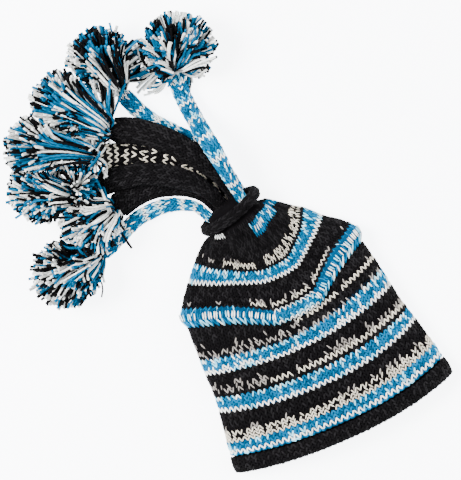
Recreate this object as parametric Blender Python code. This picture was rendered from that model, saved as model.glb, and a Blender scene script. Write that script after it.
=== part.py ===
"""A knitted tassel beanie, lying flat: a striped crown with a welt round it, a thick brim, a
rolled tie round its gathered neck, and seven knitted tubes that each end in a pompom.

Metres, +Z up. The hat rests on z = 0, +Y runs from the brim to the tassels, and the origin is
the middle of the brim's resting face. The tables are in millimetres, and MM turns them to metres.
"""

import math
import random
from typing import NamedTuple

import bmesh
import bpy
import numpy as np
from mathutils import Matrix, Vector

MM = 0.001

KNIT_WALL = 4.0       # two-ply knitted fabric
BRIM_WALL = 7.0       # the brim is double, and fuller than the crown
BRIM_SWELL = 1.6      # how far the brim stands proud of the crown
GAP = 0.4             # between neighbouring pieces
SIDE_Z = 10.0         # height of the fold at the hat's two sides
RING_POINTS = 60      # points round the crown
WELT_COURSE = 35.0
WELT_COURSES = 2.6    # courses on each side of the welt's crest
WELT_RISE = 8.0
WELT_SPREAD = 4.0
PLEATS = 10
PLEAT_DEPTH = 0.17    # of the neck's half size
CREASE_DEPTH = 6.0    # the fold that runs down from the neck
CREASE_WIDTH = 7.0
HOLLOW_END = 51.0     # course where the hollow closes

TIE_RADIUS = 6.5
TIE_CENTRE = (-6.0, 242.4, 26.6)
TIE_HALF_WIDTH = 31.0
TIE_HALF_HEIGHT = 20.0
TIE_TURN = math.radians(12.0)   # seen from above
TIE_LEAN = 0.30                 # how far its top leans to the brim, for each mm of height

TUBE_POINTS = 15
NECK_PINCH = 0.68     # a tube's share of its full radius where it leaves the neck
PINCH_LENGTH = 62.0

LOCK_VALLEY = 0.80    # depth between a pompom's locks, as a share of its radius
LOCK_INSET = 0.28
LOCK_VARIATION = 0.05
NOSE_ANGLE = 0.62     # half width of the point towards the knot, in radians
PULL_STEP = 0.97
FACE_SAMPLES = 7      # along each side of a face, to see whether it clears a tube
SEED = 7


class Course(NamedTuple):
    """One row of stitches as it lies: its two side folds, its top and back middles, its height."""

    number: float
    left_x: float
    left_y: float
    right_x: float
    right_y: float
    mid_x: float
    mid_y: float
    back_y: float
    top_z: float
    floor_z: float
    tuck: float       # 0: an even bow across the top. 1: flat in the middle, with steep shoulders


COURSES = (
    #      number left_x left_y right_x right_y mid_x mid_y back_y top_z floor_z tuck
    Course(0.0, -121.5, -0.5, 121.5, -9.0, 10.0, -18.5, -11.0, 36.0, 0.0, 0.0),
    Course(4.0, -119.5, 19.0, 120.5, 12.0, 14.0, 0.0, 12.0, 41.0, 0.0, 0.0),
    Course(7.0, -117.5, 32.0, 119.0, 27.0, 18.0, 15.0, 27.0, 43.5, 0.0, 0.0),
    Course(10.0, -114.0, 46.0, 116.5, 41.0, 12.0, 28.0, 41.0, 45.5, 0.0, 0.0),
    Course(13.0, -109.5, 65.0, 113.5, 59.0, 14.0, 44.0, 58.0, 47.0, 0.0, 0.0),
    Course(16.0, -107.0, 79.0, 111.0, 72.0, 12.0, 59.0, 72.0, 48.0, 0.0, 0.0),
    Course(22.0, -105.0, 105.0, 107.0, 101.0, 6.0, 87.0, 101.0, 49.0, 0.0, 0.15),
    Course(25.0, -103.5, 121.0, 105.5, 121.0, 4.0, 101.0, 119.0, 49.0, 0.0, 0.3),
    Course(32.0, -99.5, 157.0, 101.0, 156.0, 12.0, 115.5, 152.0, 44.0, 0.0, 0.85),
    Course(35.0, -98.5, 168.0, 100.5, 167.0, 13.0, 124.0, 163.0, 43.5, 0.0, 1.0),
    Course(38.0, -95.0, 177.0, 97.0, 177.0, 13.0, 132.5, 172.0, 42.5, 0.0, 0.9),
    Course(43.0, -79.0, 196.0, 77.0, 196.0, 16.0, 160.0, 192.0, 42.0, 0.0, 0.45),
    Course(46.0, -64.0, 211.0, 64.0, 211.0, 13.0, 173.0, 206.0, 42.0, 0.0, 0.2),
    Course(49.0, -54.0, 220.0, 54.0, 219.0, 10.0, 187.0, 215.0, 43.0, 0.0, 0.0),
    Course(52.0, -44.0, 227.0, 43.0, 229.0, 2.0, 207.0, 224.0, 45.0, 1.0, 0.0),
    Course(55.0, -37.0, 229.0, 32.0, 238.0, -4.0, 226.0, 234.0, 47.0, 5.0, 0.0),
)

# Share of the side's rise at each share of the way from the middle to the side.
TUCK_REACH = (0.0, 0.25, 0.42, 0.60, 0.80, 1.0)
TUCK_RISE = (0.0, 0.06, 0.36, 0.62, 0.82, 1.0)
BOW_POWER = 2.2


class Route(NamedTuple):
    """A tube: its colour, its radius and the points that its middle line passes through."""

    finish: str
    radius: float
    points: tuple


ROUTES = {
    "tube_cyan_upper": Route("cyan_yarn", 9.5, (
        (9.5, 251, 37.5), (8, 274, 46), (7, 298, 48), (5.5, 320, 39), (4.5, 340, 21), (4, 360, 10.5),
        (5, 379, 11), (10, 398, 22))),
    "tube_cyan_rear": Route("cyan_yarn", 9.0, (
        (12, 262, 8), (9.5, 280, 9.3), (4, 302, 9.3), (-9, 325, 9.3), (-25, 346, 9.3),
        (-38, 366, 9.3), (-46, 386, 12), (-51, 404, 20))),
    "tube_black_upper": Route("black_yarn", 12.0, (
        (5.5, 254.7, 22.5), (2.5, 274, 29), (-4.5, 294, 31), (-16, 314, 31), (-30, 334, 30.5),
        (-46, 351, 27), (-62, 363, 19), (-80, 371, 21))),
    "tube_heather": Route("heather_yarn", 10.5, (
        (-2, 259, 8), (-6, 274, 10), (-13, 289, 10.8), (-25, 304, 10.8), (-40, 318, 10.8),
        (-60, 332, 10.8), (-80, 344, 12), (-102, 353, 20))),
    "tube_black_lower": Route("black_yarn", 11.0, (
        (-10.5, 251, 22.5), (-17, 270, 28.5), (-26.5, 286, 30.5), (-42, 302, 30.5), (-62, 313, 29),
        (-86, 322, 23), (-112, 327, 13), (-144, 328, 20))),
    "tube_black_under": Route("black_yarn", 11.0, (
        (-17.5, 256, 8), (-23, 270, 10), (-35, 284, 11.3), (-52, 295, 11.3), (-72, 301, 11.3),
        (-92, 301, 12.5), (-112, 297, 19))),
    "tube_cyan_lower": Route("cyan_yarn", 8.5, (
        (-30, 251, 22), (-35, 262, 15), (-46, 270, 9), (-61, 277, 8.8), (-79, 279, 8.8),
        (-97, 278, 8.8), (-114, 272, 8.8), (-131, 266, 9.5), (-147, 262, 17))),
}


class Pompom(NamedTuple):
    """A pompom: the tube that it ends, the middle of its ball and the ball's radius."""

    tube: str
    centre: tuple
    radius: float


POMPOMS = {
    "pompom_1": Pompom("tube_cyan_upper", (22, 413, 35), 39.0),
    "pompom_2": Pompom("tube_cyan_rear", (-54, 438, 34), 36.5),
    "pompom_3": Pompom("tube_black_upper", (-107, 413, 37), 38.0),
    "pompom_4": Pompom("tube_heather", (-150, 386, 36), 37.0),
    "pompom_5": Pompom("tube_black_lower", (-168, 348, 33), 35.0),
    "pompom_6": Pompom("tube_black_under", (-139, 293, 33), 34.0),
    "pompom_7": Pompom("tube_cyan_lower", (-185, 261, 34), 37.0),
}

FINISHES = {
    # name: red, green, blue (linear), roughness
    "striped_knit": (0.02, 0.02, 0.022, 0.95),
    "black_yarn": (0.012, 0.011, 0.012, 0.95),
    "cyan_yarn": (0.04, 0.37, 0.62, 0.92),
    "heather_yarn": (0.24, 0.22, 0.20, 0.95),
    "mixed_yarn": (0.45, 0.55, 0.55, 0.93),
}


def clear_scene():
    for obj in list(bpy.data.objects):
        bpy.data.objects.remove(obj, do_unlink=True)


def make_finish(name):
    red, green, blue, roughness = FINISHES[name]
    material = bpy.data.materials.new(name)
    material.use_nodes = True
    shader = material.node_tree.nodes["Principled BSDF"]
    shader.inputs["Base Color"].default_value = (red, green, blue, 1.0)
    shader.inputs["Roughness"].default_value = roughness
    shader.inputs["Metallic"].default_value = 0.0
    return material


def add_object(name, data, material):
    obj = bpy.data.objects.new(name, data)
    data.materials.append(material)
    bpy.context.scene.collection.objects.link(obj)
    return obj


def eased(stations, values, at):
    """A smooth curve through the values, read at one station."""
    slopes = np.gradient(values, stations)
    low = int(np.clip(np.searchsorted(stations, at, side="right") - 1, 0, len(stations) - 2))
    span = stations[low + 1] - stations[low]
    share = (at - stations[low]) / span
    rise, back = share * share * (3 - 2 * share), share * (1 - share)
    return (values[low] * (1 - rise) + values[low + 1] * rise
            + span * back * (slopes[low] * (1 - share) - slopes[low + 1] * share))


def course_at(number):
    """The row of the table at any course, also between two of its rows."""
    stations = [row.number for row in COURSES]
    columns = zip(*COURSES)
    return Course(*(float(eased(stations, column, number)) for column in columns))


def smoothstep(low, high, value):
    share = min(max((value - low) / (high - low), 0.0), 1.0)
    return share * share * (3 - 2 * share)


def bow(row, across):
    """How far the top of a course has come back towards the neck, from 0 in its middle."""
    middle = (2 * row.mid_x - row.left_x - row.right_x) / (row.right_x - row.left_x)
    reach = abs(across - middle) / (1 + middle if across < middle else 1 - middle)
    even = reach ** BOW_POWER
    return even + row.tuck * (float(np.interp(reach, TUCK_REACH, TUCK_RISE)) - even)


def crown_point(number, angle, out=0.0):
    """A point of the crown in mm, at a course and an angle round it, moved out of the fabric.

    The angle is 0 at the right side, 90 degrees on top and 180 degrees at the left side.
    """
    row = course_at(number)
    across, up = math.cos(angle), math.sin(angle)
    welt = math.sqrt(max(0.0, 1 - ((number - WELT_COURSE) / WELT_COURSES) ** 2))
    gather = smoothstep(44.0, 54.0, number)
    pleat = 1 - PLEAT_DEPTH * gather * (0.5 - 0.5 * math.cos(PLEATS * angle))
    half = (0.5 * (row.right_x - row.left_x) + WELT_SPREAD * welt) * pleat + out
    x = 0.5 * (row.left_x + row.right_x) + half * across
    side_y = row.left_y + (row.right_y - row.left_y) * 0.5 * (1 + across)
    side_z = SIDE_Z + row.floor_z
    if up >= 0:
        dip = row.left_y + (row.right_y - row.left_y) * 0.5 - row.mid_y
        y = side_y - dip * (1 - bow(row, across))
        top = row.top_z + WELT_RISE * welt + out
        crease = gather_crease(number) * math.exp(-((x - row.mid_x) / CREASE_WIDTH) ** 2)
        z = side_z + (top - side_z) * up ** 0.8 * (0.5 + 0.5 * pleat) - crease
    else:
        y = side_y - (side_y - row.back_y) * (-up) ** 1.5
        low = row.floor_z - min(out, 0.0)
        flat = 1 - (1 - abs(across) ** 6) ** (1 / 6) * 1.05
        z = low + (side_z - low) * max(flat, 0.0)
    return Vector((x, y, z))


def gather_crease(number):
    return CREASE_DEPTH * smoothstep(39.0, 46.0, number) * (1 - smoothstep(51.0, 55.0, number))


def tie_frame():
    """The tie's plane: its middle, the way across it, the way up it and the way to the tubes."""
    across = Vector((math.cos(TIE_TURN), math.sin(TIE_TURN), 0.0))
    up = Vector((math.sin(TIE_TURN) * TIE_LEAN, -math.cos(TIE_TURN) * TIE_LEAN, 1.0)).normalized()
    return Vector(TIE_CENTRE), across, up, up.cross(across).normalized()


def neck_point(angle, forward, inset):
    """A point of the gathered neck where it passes through the tie."""
    centre, across, up, ahead = tie_frame()
    room = TIE_RADIUS + GAP + inset
    return (centre + across * ((TIE_HALF_WIDTH - room) * math.cos(angle))
            + up * ((TIE_HALF_HEIGHT - room) * math.sin(angle)) + ahead * forward)


def ring_angles(count=RING_POINTS):
    return [2 * math.pi * i / count for i in range(count)]


def crown_ring(number, out):
    return [crown_point(number, angle, out) for angle in ring_angles()]


def neck_ring(forward, inset):
    return [neck_point(angle, forward, inset) for angle in ring_angles()]


def lofted_mesh(name, rings, closed_ends=True):
    """A closed body through rings of points: capped at both ends, or joined last to first."""
    bm = bmesh.new()
    loops = [[bm.verts.new(point * MM) for point in ring] for ring in rings]
    joined = list(zip(loops, loops[1:]))
    if not closed_ends:
        joined.append((loops[-1], loops[0]))
    for low, high in joined:
        for i in range(len(low)):
            after = (i + 1) % len(low)
            bm.faces.new((low[i], low[after], high[after], high[i]))
    if closed_ends:
        for loop in (loops[0], loops[-1]):
            middle = bm.verts.new(sum((v.co for v in loop), Vector()) / len(loop))
            for i in range(len(loop)):
                bm.faces.new((loop[i], loop[(i + 1) % len(loop)], middle))
    bmesh.ops.recalc_face_normals(bm, faces=bm.faces)
    mesh = bpy.data.meshes.new(name)
    bm.to_mesh(mesh)
    bm.free()
    mesh.shade_smooth()
    mesh.set_sharp_from_angle(angle=math.radians(50))
    return mesh


def make_crown(material):
    """The knitted shell, open at the brim: from the hollow's end out to the mouth, then back."""
    inner = (HOLLOW_END, 49, 46, 43, 40, 37, 34, 30, 25, 19, 13, 8, 4.1)
    outer = (4.1, 7, 10, 13, 16, 19, 22, 25, 28.5, 32.3, 32.6, 33.3, 34.2, 35, 35.8, 36.7, 37.4,
             37.7, 40, 43, 44.5, 46, 47.5, 49, 50.5, 52, 53.5, 55)
    rings = [crown_ring(number, -KNIT_WALL) for number in inner]
    rings += [crown_ring(number, 0.0) for number in outer]
    rings += [neck_ring(-TIE_RADIUS, 0.0), neck_ring(TIE_RADIUS, 1.0)]
    return add_object("crown", lofted_mesh("crown", rings), material)


def make_brim(material):
    """The thick band round the mouth, with a rounded lip."""
    top = 4.0
    section = (
        # course, distance out from the crown's surface
        (top, -0.2), (3.4, 0.9), (2.0, BRIM_SWELL), (0.7, 1.0), (0.1, -0.6), (0.0, -3.2),
        (0.4, -BRIM_WALL + 1.4), (2.0, BRIM_SWELL - BRIM_WALL), (top, -BRIM_WALL + 1.8),
    )
    gap = Vector((0.0, GAP, 0.0))
    rings = [[crown_point(course, angle, out) - gap for angle in ring_angles()]
             for course, out in section]
    return add_object("brim_band", lofted_mesh("brim_band", rings, closed_ends=False), material)


def add_tube(name, points, radii, depth, cyclic, material):
    """A round tube along the points, with filled ends unless it is a closed ring."""
    curve = bpy.data.curves.new(name, "CURVE")
    curve.dimensions = "3D"
    curve.bevel_depth = depth * MM
    curve.bevel_resolution = 3
    curve.use_fill_caps = not cyclic
    spline = curve.splines.new("POLY")
    spline.points.add(len(points) - 1)
    for place, point, radius in zip(spline.points, points, radii):
        place.co = (*(c * MM for c in point), 1.0)
        place.radius = radius / depth
    spline.use_cyclic_u = cyclic
    return add_object(name, curve, material)


def make_tie(material):
    centre, across, up, _ = tie_frame()
    points = [centre + across * (TIE_HALF_WIDTH * math.cos(angle))
              + up * (TIE_HALF_HEIGHT * math.sin(angle)) for angle in ring_angles(28)]
    return add_tube("neck_tie", points, [TIE_RADIUS] * len(points), TIE_RADIUS, True, material)


def tube_line(route, count=TUBE_POINTS):
    """Evenly spaced points on a smooth curve through the route's own, with the radius at each."""
    through = np.array(route.points, float)
    along = np.concatenate([[0.0], np.cumsum(np.linalg.norm(np.diff(through, axis=0), axis=1))])
    stations = np.linspace(0.0, along[-1], count)
    line = [Vector([float(eased(along, column, at)) for column in through.T]) for at in stations]
    radii = [route.radius * (NECK_PINCH + (1 - NECK_PINCH) * smoothstep(0.0, PINCH_LENGTH, at))
             for at in stations]
    return line, radii


def make_tube(name, material):
    route = ROUTES[name]
    line, radii = tube_line(route)
    return add_tube(name, line, radii, route.radius, False, material)


def ball_reach(pompom, way, knot):
    """Distance from a pompom's middle to its surface: a ball, drawn out towards its knot."""
    towards = knot - Vector(pompom.centre)
    drawn = max(towards.length - pompom.radius, 0.0)
    return pompom.radius + drawn * math.exp(-(way.angle(towards) / NOSE_ANGLE) ** 2)


def room_beside(name, way):
    """The most that a pompom may reach one way, for the floor and for its neighbours."""
    here = POMPOMS[name]
    centre = Vector(here.centre)
    limits = [centre.z / -way.z if way.z < -1e-6 else math.inf]
    for other_name, other in POMPOMS.items():
        if other_name == name:
            continue
        apart = Vector(other.centre) - centre
        share = (apart.length_squared + here.radius ** 2 - other.radius ** 2) / 2
        facing = way.dot(apart)
        limits.append((share - GAP * apart.length) / facing if facing > 1e-6 else math.inf)
    return min(limits)


def skin_distance(point, line, radii):
    """Distance from a point to a tube's surface. The tube's two ends are flat."""
    best = math.inf
    for i, (start, end) in enumerate(zip(line, line[1:])):
        length = (end - start).length
        way = (end - start) / length
        along = (point - start).dot(way)
        share = min(max(along / length, 0.0), 1.0)
        radius = radii[i] + (radii[i + 1] - radii[i]) * share
        aside = (point - start - way * along).length - radius
        beyond = along - share * length
        at_end = (beyond > 0 and i == len(line) - 2) or (beyond < 0 and i == 0)
        if at_end:
            best = min(best, math.hypot(max(aside, 0.0), beyond))
        elif beyond == 0:
            best = min(best, aside)
        else:
            best = min(best, (point - start - way * share * length).length - radius)
    return best


def pull_clear(bm, centre, lines):
    """Draws a pompom's points in towards its middle until its faces clear every tube."""
    steps = range(FACE_SAMPLES + 1)
    shares = [(i / FACE_SAMPLES, j / FACE_SAMPLES) for i in steps for j in steps
              if i + j <= FACE_SAMPLES]
    waiting = set(bm.faces)
    while waiting:
        caught = set()
        for face in waiting:
            a, b, c = (v.co for v in face.verts)
            samples = [a + (b - a) * s + (c - a) * t for s, t in shares]
            if any(skin_distance(p, *line) < GAP for p in samples for line in lines):
                caught.update(face.verts)
        for vert in caught:
            vert.co = centre + (vert.co - centre) * PULL_STEP
        waiting = {face for vert in caught for face in vert.link_faces}


def locks_on_ball(bm, dice):
    """Raises a blunt lock from each face of a ball, apart from those round its lowest point."""
    knot_point = min(bm.verts, key=lambda v: v.co.z)
    round_knot = set(knot_point.link_faces)
    tips = {}
    for lock in [face for face in bm.faces if face not in round_knot]:
        length = 1 + LOCK_VARIATION * dice.uniform(-1, 1)
        middle = lock.calc_center_median()
        raised = bmesh.ops.extrude_discrete_faces(bm, faces=[lock])["faces"][0]
        for vert in raised.verts:
            vert.co += (middle - vert.co) * LOCK_INSET
            tips[vert] = length
    return knot_point, tips


def make_pompom(name, lines, dice, material):
    """A ball of blunt locks fused to one head, which meets the end of its tube."""
    pompom = POMPOMS[name]
    centre = Vector(pompom.centre)
    knot = lines[pompom.tube][0][-1]
    towards = (knot - centre).normalized()
    bm = bmesh.new()
    bmesh.ops.create_icosphere(bm, subdivisions=2, radius=1.0)
    knot_point, tips = locks_on_ball(bm, dice)
    bm.transform(Vector((0, 0, -1)).rotation_difference(towards).to_matrix().to_4x4())
    for vert in bm.verts:
        way = vert.co.normalized()
        reach = ball_reach(pompom, way, knot) * tips.get(vert, LOCK_VALLEY)
        vert.co = centre + way * min(reach, room_beside(name, way))
    knot_point.co = knot - towards * 1.5 * GAP
    bmesh.ops.triangulate(bm, faces=bm.faces)
    near = [line for line in lines.values()
            if min((point - centre).length for point in line[0]) < 2 * pompom.radius]
    pull_clear(bm, centre, near)
    bm.transform(Matrix.Scale(MM, 4))
    bmesh.ops.recalc_face_normals(bm, faces=bm.faces)
    mesh = bpy.data.meshes.new(name)
    bm.to_mesh(mesh)
    bm.free()
    return add_object(name, mesh, material)


def main():
    clear_scene()
    finishes = {name: make_finish(name) for name in FINISHES}
    make_crown(finishes["striped_knit"])
    make_brim(finishes["black_yarn"])
    make_tie(finishes["black_yarn"])
    lines = {name: tube_line(route) for name, route in ROUTES.items()}
    dice = random.Random(SEED)
    for name, route in ROUTES.items():
        make_tube(name, finishes[route.finish])
    for name in POMPOMS:
        make_pompom(name, lines, dice, finishes["mixed_yarn"])


main()
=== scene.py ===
"""The looks of a knitted tassel beanie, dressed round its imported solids.

The hat lies flat with its brim towards -Y and its tassels towards +Y. Everything is in metres
with +Z up, and the floor is z = 0. The tables of places are in millimetres, and MM turns them
into metres.
"""

import logging
import math
from dataclasses import dataclass, field
from enum import Enum
from typing import Any, NamedTuple

import bmesh
import bpy
import numpy as np
from mathutils import Matrix, Vector

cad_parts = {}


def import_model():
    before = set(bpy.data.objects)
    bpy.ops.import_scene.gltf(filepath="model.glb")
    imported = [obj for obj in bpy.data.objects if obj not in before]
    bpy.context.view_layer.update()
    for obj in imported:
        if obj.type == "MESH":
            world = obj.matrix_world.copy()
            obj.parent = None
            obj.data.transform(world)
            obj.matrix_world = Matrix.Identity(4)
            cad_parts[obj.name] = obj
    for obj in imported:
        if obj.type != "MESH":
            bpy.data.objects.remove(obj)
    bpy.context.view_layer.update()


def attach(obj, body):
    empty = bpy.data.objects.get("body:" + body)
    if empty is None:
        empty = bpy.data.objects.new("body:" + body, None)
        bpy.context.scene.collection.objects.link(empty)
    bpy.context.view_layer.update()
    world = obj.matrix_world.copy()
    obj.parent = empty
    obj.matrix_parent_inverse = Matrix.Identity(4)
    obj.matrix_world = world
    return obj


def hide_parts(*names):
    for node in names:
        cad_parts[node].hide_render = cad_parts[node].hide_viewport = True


MM = 0.001
SLIGHT = 1e-6
LOG = logging.getLogger("beanie")


def linear(hex_colour: str) -> tuple[float, float, float, float]:
    """Turns an sRGB hex colour into a linear one.

    Args:
        hex_colour: six hex digits after a number sign.

    Returns:
        Red, green, blue and an alpha of one.
    """
    channels = [int(hex_colour[i:i + 2], 16) / 255 for i in (1, 3, 5)]
    turned = [c / 12.92 if c <= 0.04045 else ((c + 0.055) / 1.055) ** 2.4 for c in channels]
    return (*turned, 1.0)


def add_node(tree: bpy.types.NodeTree, kind: str, inputs: dict[Any, Any] | None = None,
             **settings: Any) -> bpy.types.Node:
    """Adds one node to a tree, with its settings and links.

    Args:
        tree: the tree that the node goes into.
        kind: the node's type.
        inputs: a value, or another node's output to link, for each input by name or number.
        settings: the node's own properties.

    Returns:
        The new node.
    """
    node = tree.nodes.new(kind)
    for name, value in settings.items():
        setattr(node, name, value)
    for key, value in (inputs or {}).items():
        if isinstance(value, bpy.types.NodeSocket):
            tree.links.new(value, node.inputs[key])
        else:
            node.inputs[key].default_value = value
    return node


def worked_out(tree: bpy.types.NodeTree, operation: str, *values: Any) -> bpy.types.NodeSocket:
    """Adds one step of arithmetic to a tree.

    Args:
        tree: the tree that the step goes into.
        operation: what the step does.
        values: the numbers or outputs that it takes, in its own order.

    Returns:
        The output that gives the result.
    """
    node = add_node(tree, "ShaderNodeMath", dict(enumerate(values)), operation=operation)
    return node.outputs[0]


class Strand(Enum):
    """The yarns of the hat, by the colour of one strand under the studio's strong lamps."""

    BLACK = "#0b0a0b"
    CHARCOAL = "#181718"
    GREY = "#8a847e"
    CREAM = "#d3cab8"
    WHITE = "#f6f7f1"
    PALE = "#86cfe6"
    CYAN = "#015e86"
    DEEP_CYAN = "#014464"


class PaintedShade(Enum):
    """The fabric between the stitches, in a darker shade of the yarn over it: painted shade in the
    gaps. The same painted shade fills the neck and the pompoms' middles.
    """

    DARK = "#060506"
    BROWN = "#0b0a0a"
    BLUE = "#013350"


class YarnMix(NamedTuple):
    """How a row's stitches share the yarns."""

    shares: tuple[tuple[Strand, float], ...]
    by_leg: bool             # True where the two legs of a stitch differ, as in flecked yarn
    # The fabric between the stitches is coloured in painted shade, darker than the row's yarn.
    ground: PaintedShade
    girth: float = 1.0       # share of a plain leg's thickness


# The plain rows aren't one flat black: a third of their legs catch more light.
BLACKS = ((Strand.BLACK, 0.65), (Strand.CHARCOAL, 0.35))

# A row of stitches for each letter of the charts: K black, f and g black with grey flecks, h, H, M
# and Z with ever more cream, C and P blue, w and W blue with white, and L the welt's loops.
MIXES = {
    "K": YarnMix(BLACKS, True, PaintedShade.DARK),
    "f": YarnMix(((Strand.BLACK, 0.78), (Strand.GREY, 0.22)), True, PaintedShade.DARK, 0.80),
    "g": YarnMix(((Strand.BLACK, 0.45), (Strand.GREY, 0.55)), True, PaintedShade.DARK, 0.72),
    "h": YarnMix(((Strand.CREAM, 0.42), (Strand.BLACK, 0.58)), True, PaintedShade.DARK, 0.70),
    "H": YarnMix(((Strand.CREAM, 0.72), (Strand.BLACK, 0.28)), True, PaintedShade.DARK, 0.66),
    "Z": YarnMix(((Strand.CREAM, 0.92), (Strand.BLACK, 0.08)), False, PaintedShade.DARK, 0.70),
    "M": YarnMix(((Strand.CREAM, 0.78), (Strand.BLACK, 0.22)), True, PaintedShade.DARK, 0.85),
    "C": YarnMix(((Strand.CYAN, 0.60), (Strand.DEEP_CYAN, 0.27), (Strand.PALE, 0.13)), True,
                 PaintedShade.BLUE),
    "P": YarnMix(((Strand.PALE, 0.42), (Strand.CYAN, 0.43), (Strand.WHITE, 0.15)), True,
                 PaintedShade.BLUE, 0.85),
    "W": YarnMix(((Strand.WHITE, 0.92), (Strand.PALE, 0.08)), False, PaintedShade.BLUE, 0.74),
    "w": YarnMix(((Strand.WHITE, 0.35), (Strand.CYAN, 0.65)), True, PaintedShade.BLUE, 0.85),
    "L": YarnMix(((Strand.WHITE, 0.62), (Strand.PALE, 0.18), (Strand.CYAN, 0.20)), True,
                 PaintedShade.BLUE, 0.66),
}


@dataclass(frozen=True)
class WoolBlend:
    """Hand-spun wool and acrylic, two plies twisted together: matt, hairy, with a faint sheen."""

    name: str
    roughness: float = 0.92
    sheen: float = 0.20              # the hairs' glow, in the yarn's own colour
    specular: float = 0.04
    sheen_roughness: float = 0.55
    patch_mm: float = 14.0           # size of the patches where the dye is lighter or darker
    patch_detail: float = 2.0
    fleck_mm: float = 1.1            # size of the hairs, drawn as coarse as they need to show
    fleck_detail: float = 3.0
    noise_low: float = 0.7           # the two noises' sum where the yarn is darkest
    noise_high: float = 1.3
    shade_low: float = 0.66
    shade_high: float = 1.22
    ply_turns: float = 3.0           # turns of the plies along a stitch's leg or a strand
    ply_depth_mm: float = 0.5
    hair_height: float = 1.6         # of a ply's
    relief: float = 0.5

    def build(self) -> bpy.types.Material:
        """Makes the material.

        Returns:
            The material, which takes each stitch's colour from the attribute named yarn.
        """
        material = bpy.data.materials.new(self.name)
        material.use_nodes = True
        tree = material.node_tree
        shader = tree.nodes["Principled BSDF"]
        place = add_node(tree, "ShaderNodeTexCoord")
        colour = add_node(tree, "ShaderNodeAttribute", attribute_name="yarn")
        patches = add_node(tree, "ShaderNodeTexNoise", {
            "Vector": place.outputs["Object"], "Scale": 1 / (self.patch_mm * MM),
            "Detail": self.patch_detail})
        hairs = add_node(tree, "ShaderNodeTexNoise", {
            "Vector": place.outputs["Object"], "Scale": 1 / (self.fleck_mm * MM),
            "Detail": self.fleck_detail})
        both = worked_out(tree, "ADD", patches.outputs["Fac"], hairs.outputs["Fac"])
        shade = add_node(tree, "ShaderNodeMapRange", {
            "Value": both, "From Min": self.noise_low, "From Max": self.noise_high,
            "To Min": self.shade_low, "To Max": self.shade_high})
        tinted = add_node(tree, "ShaderNodeVectorMath", {
            0: colour.outputs["Color"], 1: shade.outputs[0]}, operation="MULTIPLY")
        parts = add_node(tree, "ShaderNodeSeparateXYZ", {0: place.outputs["UV"]}).outputs
        turned = worked_out(tree, "MULTIPLY_ADD", parts["Y"], self.ply_turns, parts["X"])
        plies = worked_out(tree, "SINE", worked_out(tree, "MULTIPLY", turned, 2 * math.pi))
        height = worked_out(tree, "MULTIPLY_ADD", hairs.outputs["Fac"], self.hair_height, plies)
        bump = add_node(tree, "ShaderNodeBump", {
            "Height": height, "Strength": self.relief, "Distance": self.ply_depth_mm * MM})
        tree.links.new(tinted.outputs[0], shader.inputs["Base Color"])
        tree.links.new(tinted.outputs[0], shader.inputs["Sheen Tint"])
        tree.links.new(bump.outputs[0], shader.inputs["Normal"])
        shader.inputs["Roughness"].default_value = self.roughness
        shader.inputs["Sheen Weight"].default_value = self.sheen
        shader.inputs["Sheen Roughness"].default_value = self.sheen_roughness
        shader.inputs["Specular IOR Level"].default_value = self.specular
        return material


@dataclass(frozen=True)
class PaperSweep:
    """Coated white paper, lit from behind as well, so that it looks almost pure white."""

    name: str
    colour: str = "#f9fafb"
    glow_colour: str = "#f9fbff"
    glow: float = 6.0
    roughness: float = 0.9

    def build(self) -> bpy.types.Material:
        """Makes the material.

        Returns:
            The material.
        """
        material = bpy.data.materials.new(self.name)
        material.use_nodes = True
        shader = material.node_tree.nodes["Principled BSDF"]
        shader.inputs["Base Color"].default_value = linear(self.colour)
        shader.inputs["Roughness"].default_value = self.roughness
        shader.inputs["Emission Color"].default_value = linear(self.glow_colour)
        shader.inputs["Emission Strength"].default_value = self.glow
        return material


def eased(stations: np.ndarray, values: np.ndarray, at: float) -> float:
    """Reads a smooth curve through the values at one station.

    Args:
        stations: where the values are known, rising.
        values: the values there.
        at: the station to read.

    Returns:
        The value at that station.
    """
    slopes = np.gradient(values, stations)
    low = int(np.clip(np.searchsorted(stations, at, side="right") - 1, 0, len(stations) - 2))
    span = stations[low + 1] - stations[low]
    share = (at - stations[low]) / span
    rise, back = share * share * (3 - 2 * share), share * (1 - share)
    return float(values[low] * (1 - rise) + values[low + 1] * rise
                 + span * back * (slopes[low] * (1 - share) - slopes[low + 1] * share))


def smoothstep(low: float, high: float, value: float) -> float:
    """Rises from 0 to 1 with no corner.

    Args:
        low: where the rise starts.
        high: where it ends.
        value: the place to read it at.

    Returns:
        A share from 0 to 1.
    """
    share = min(max((value - low) / (high - low), 0.0), 1.0)
    return share * share * (3 - 2 * share)


def run_along(line: np.ndarray) -> np.ndarray:
    """Measures how far along a line each of its points is."""
    return np.concatenate([[0.0], np.cumsum(np.linalg.norm(np.diff(line, axis=0), axis=1))])


def spread_round(ring: np.ndarray, count: int) -> np.ndarray:
    """Spaces points evenly round a closed ring.

    Args:
        ring: the ring's points, the first not repeated.
        count: how many points to space out.

    Returns:
        That many points and then the first again.
    """
    closed = np.vstack([ring, ring[:1]])
    along = run_along(closed)
    at = np.linspace(0.0, along[-1], count + 1)
    return np.column_stack([np.interp(at, along, column) for column in closed.T])


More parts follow.
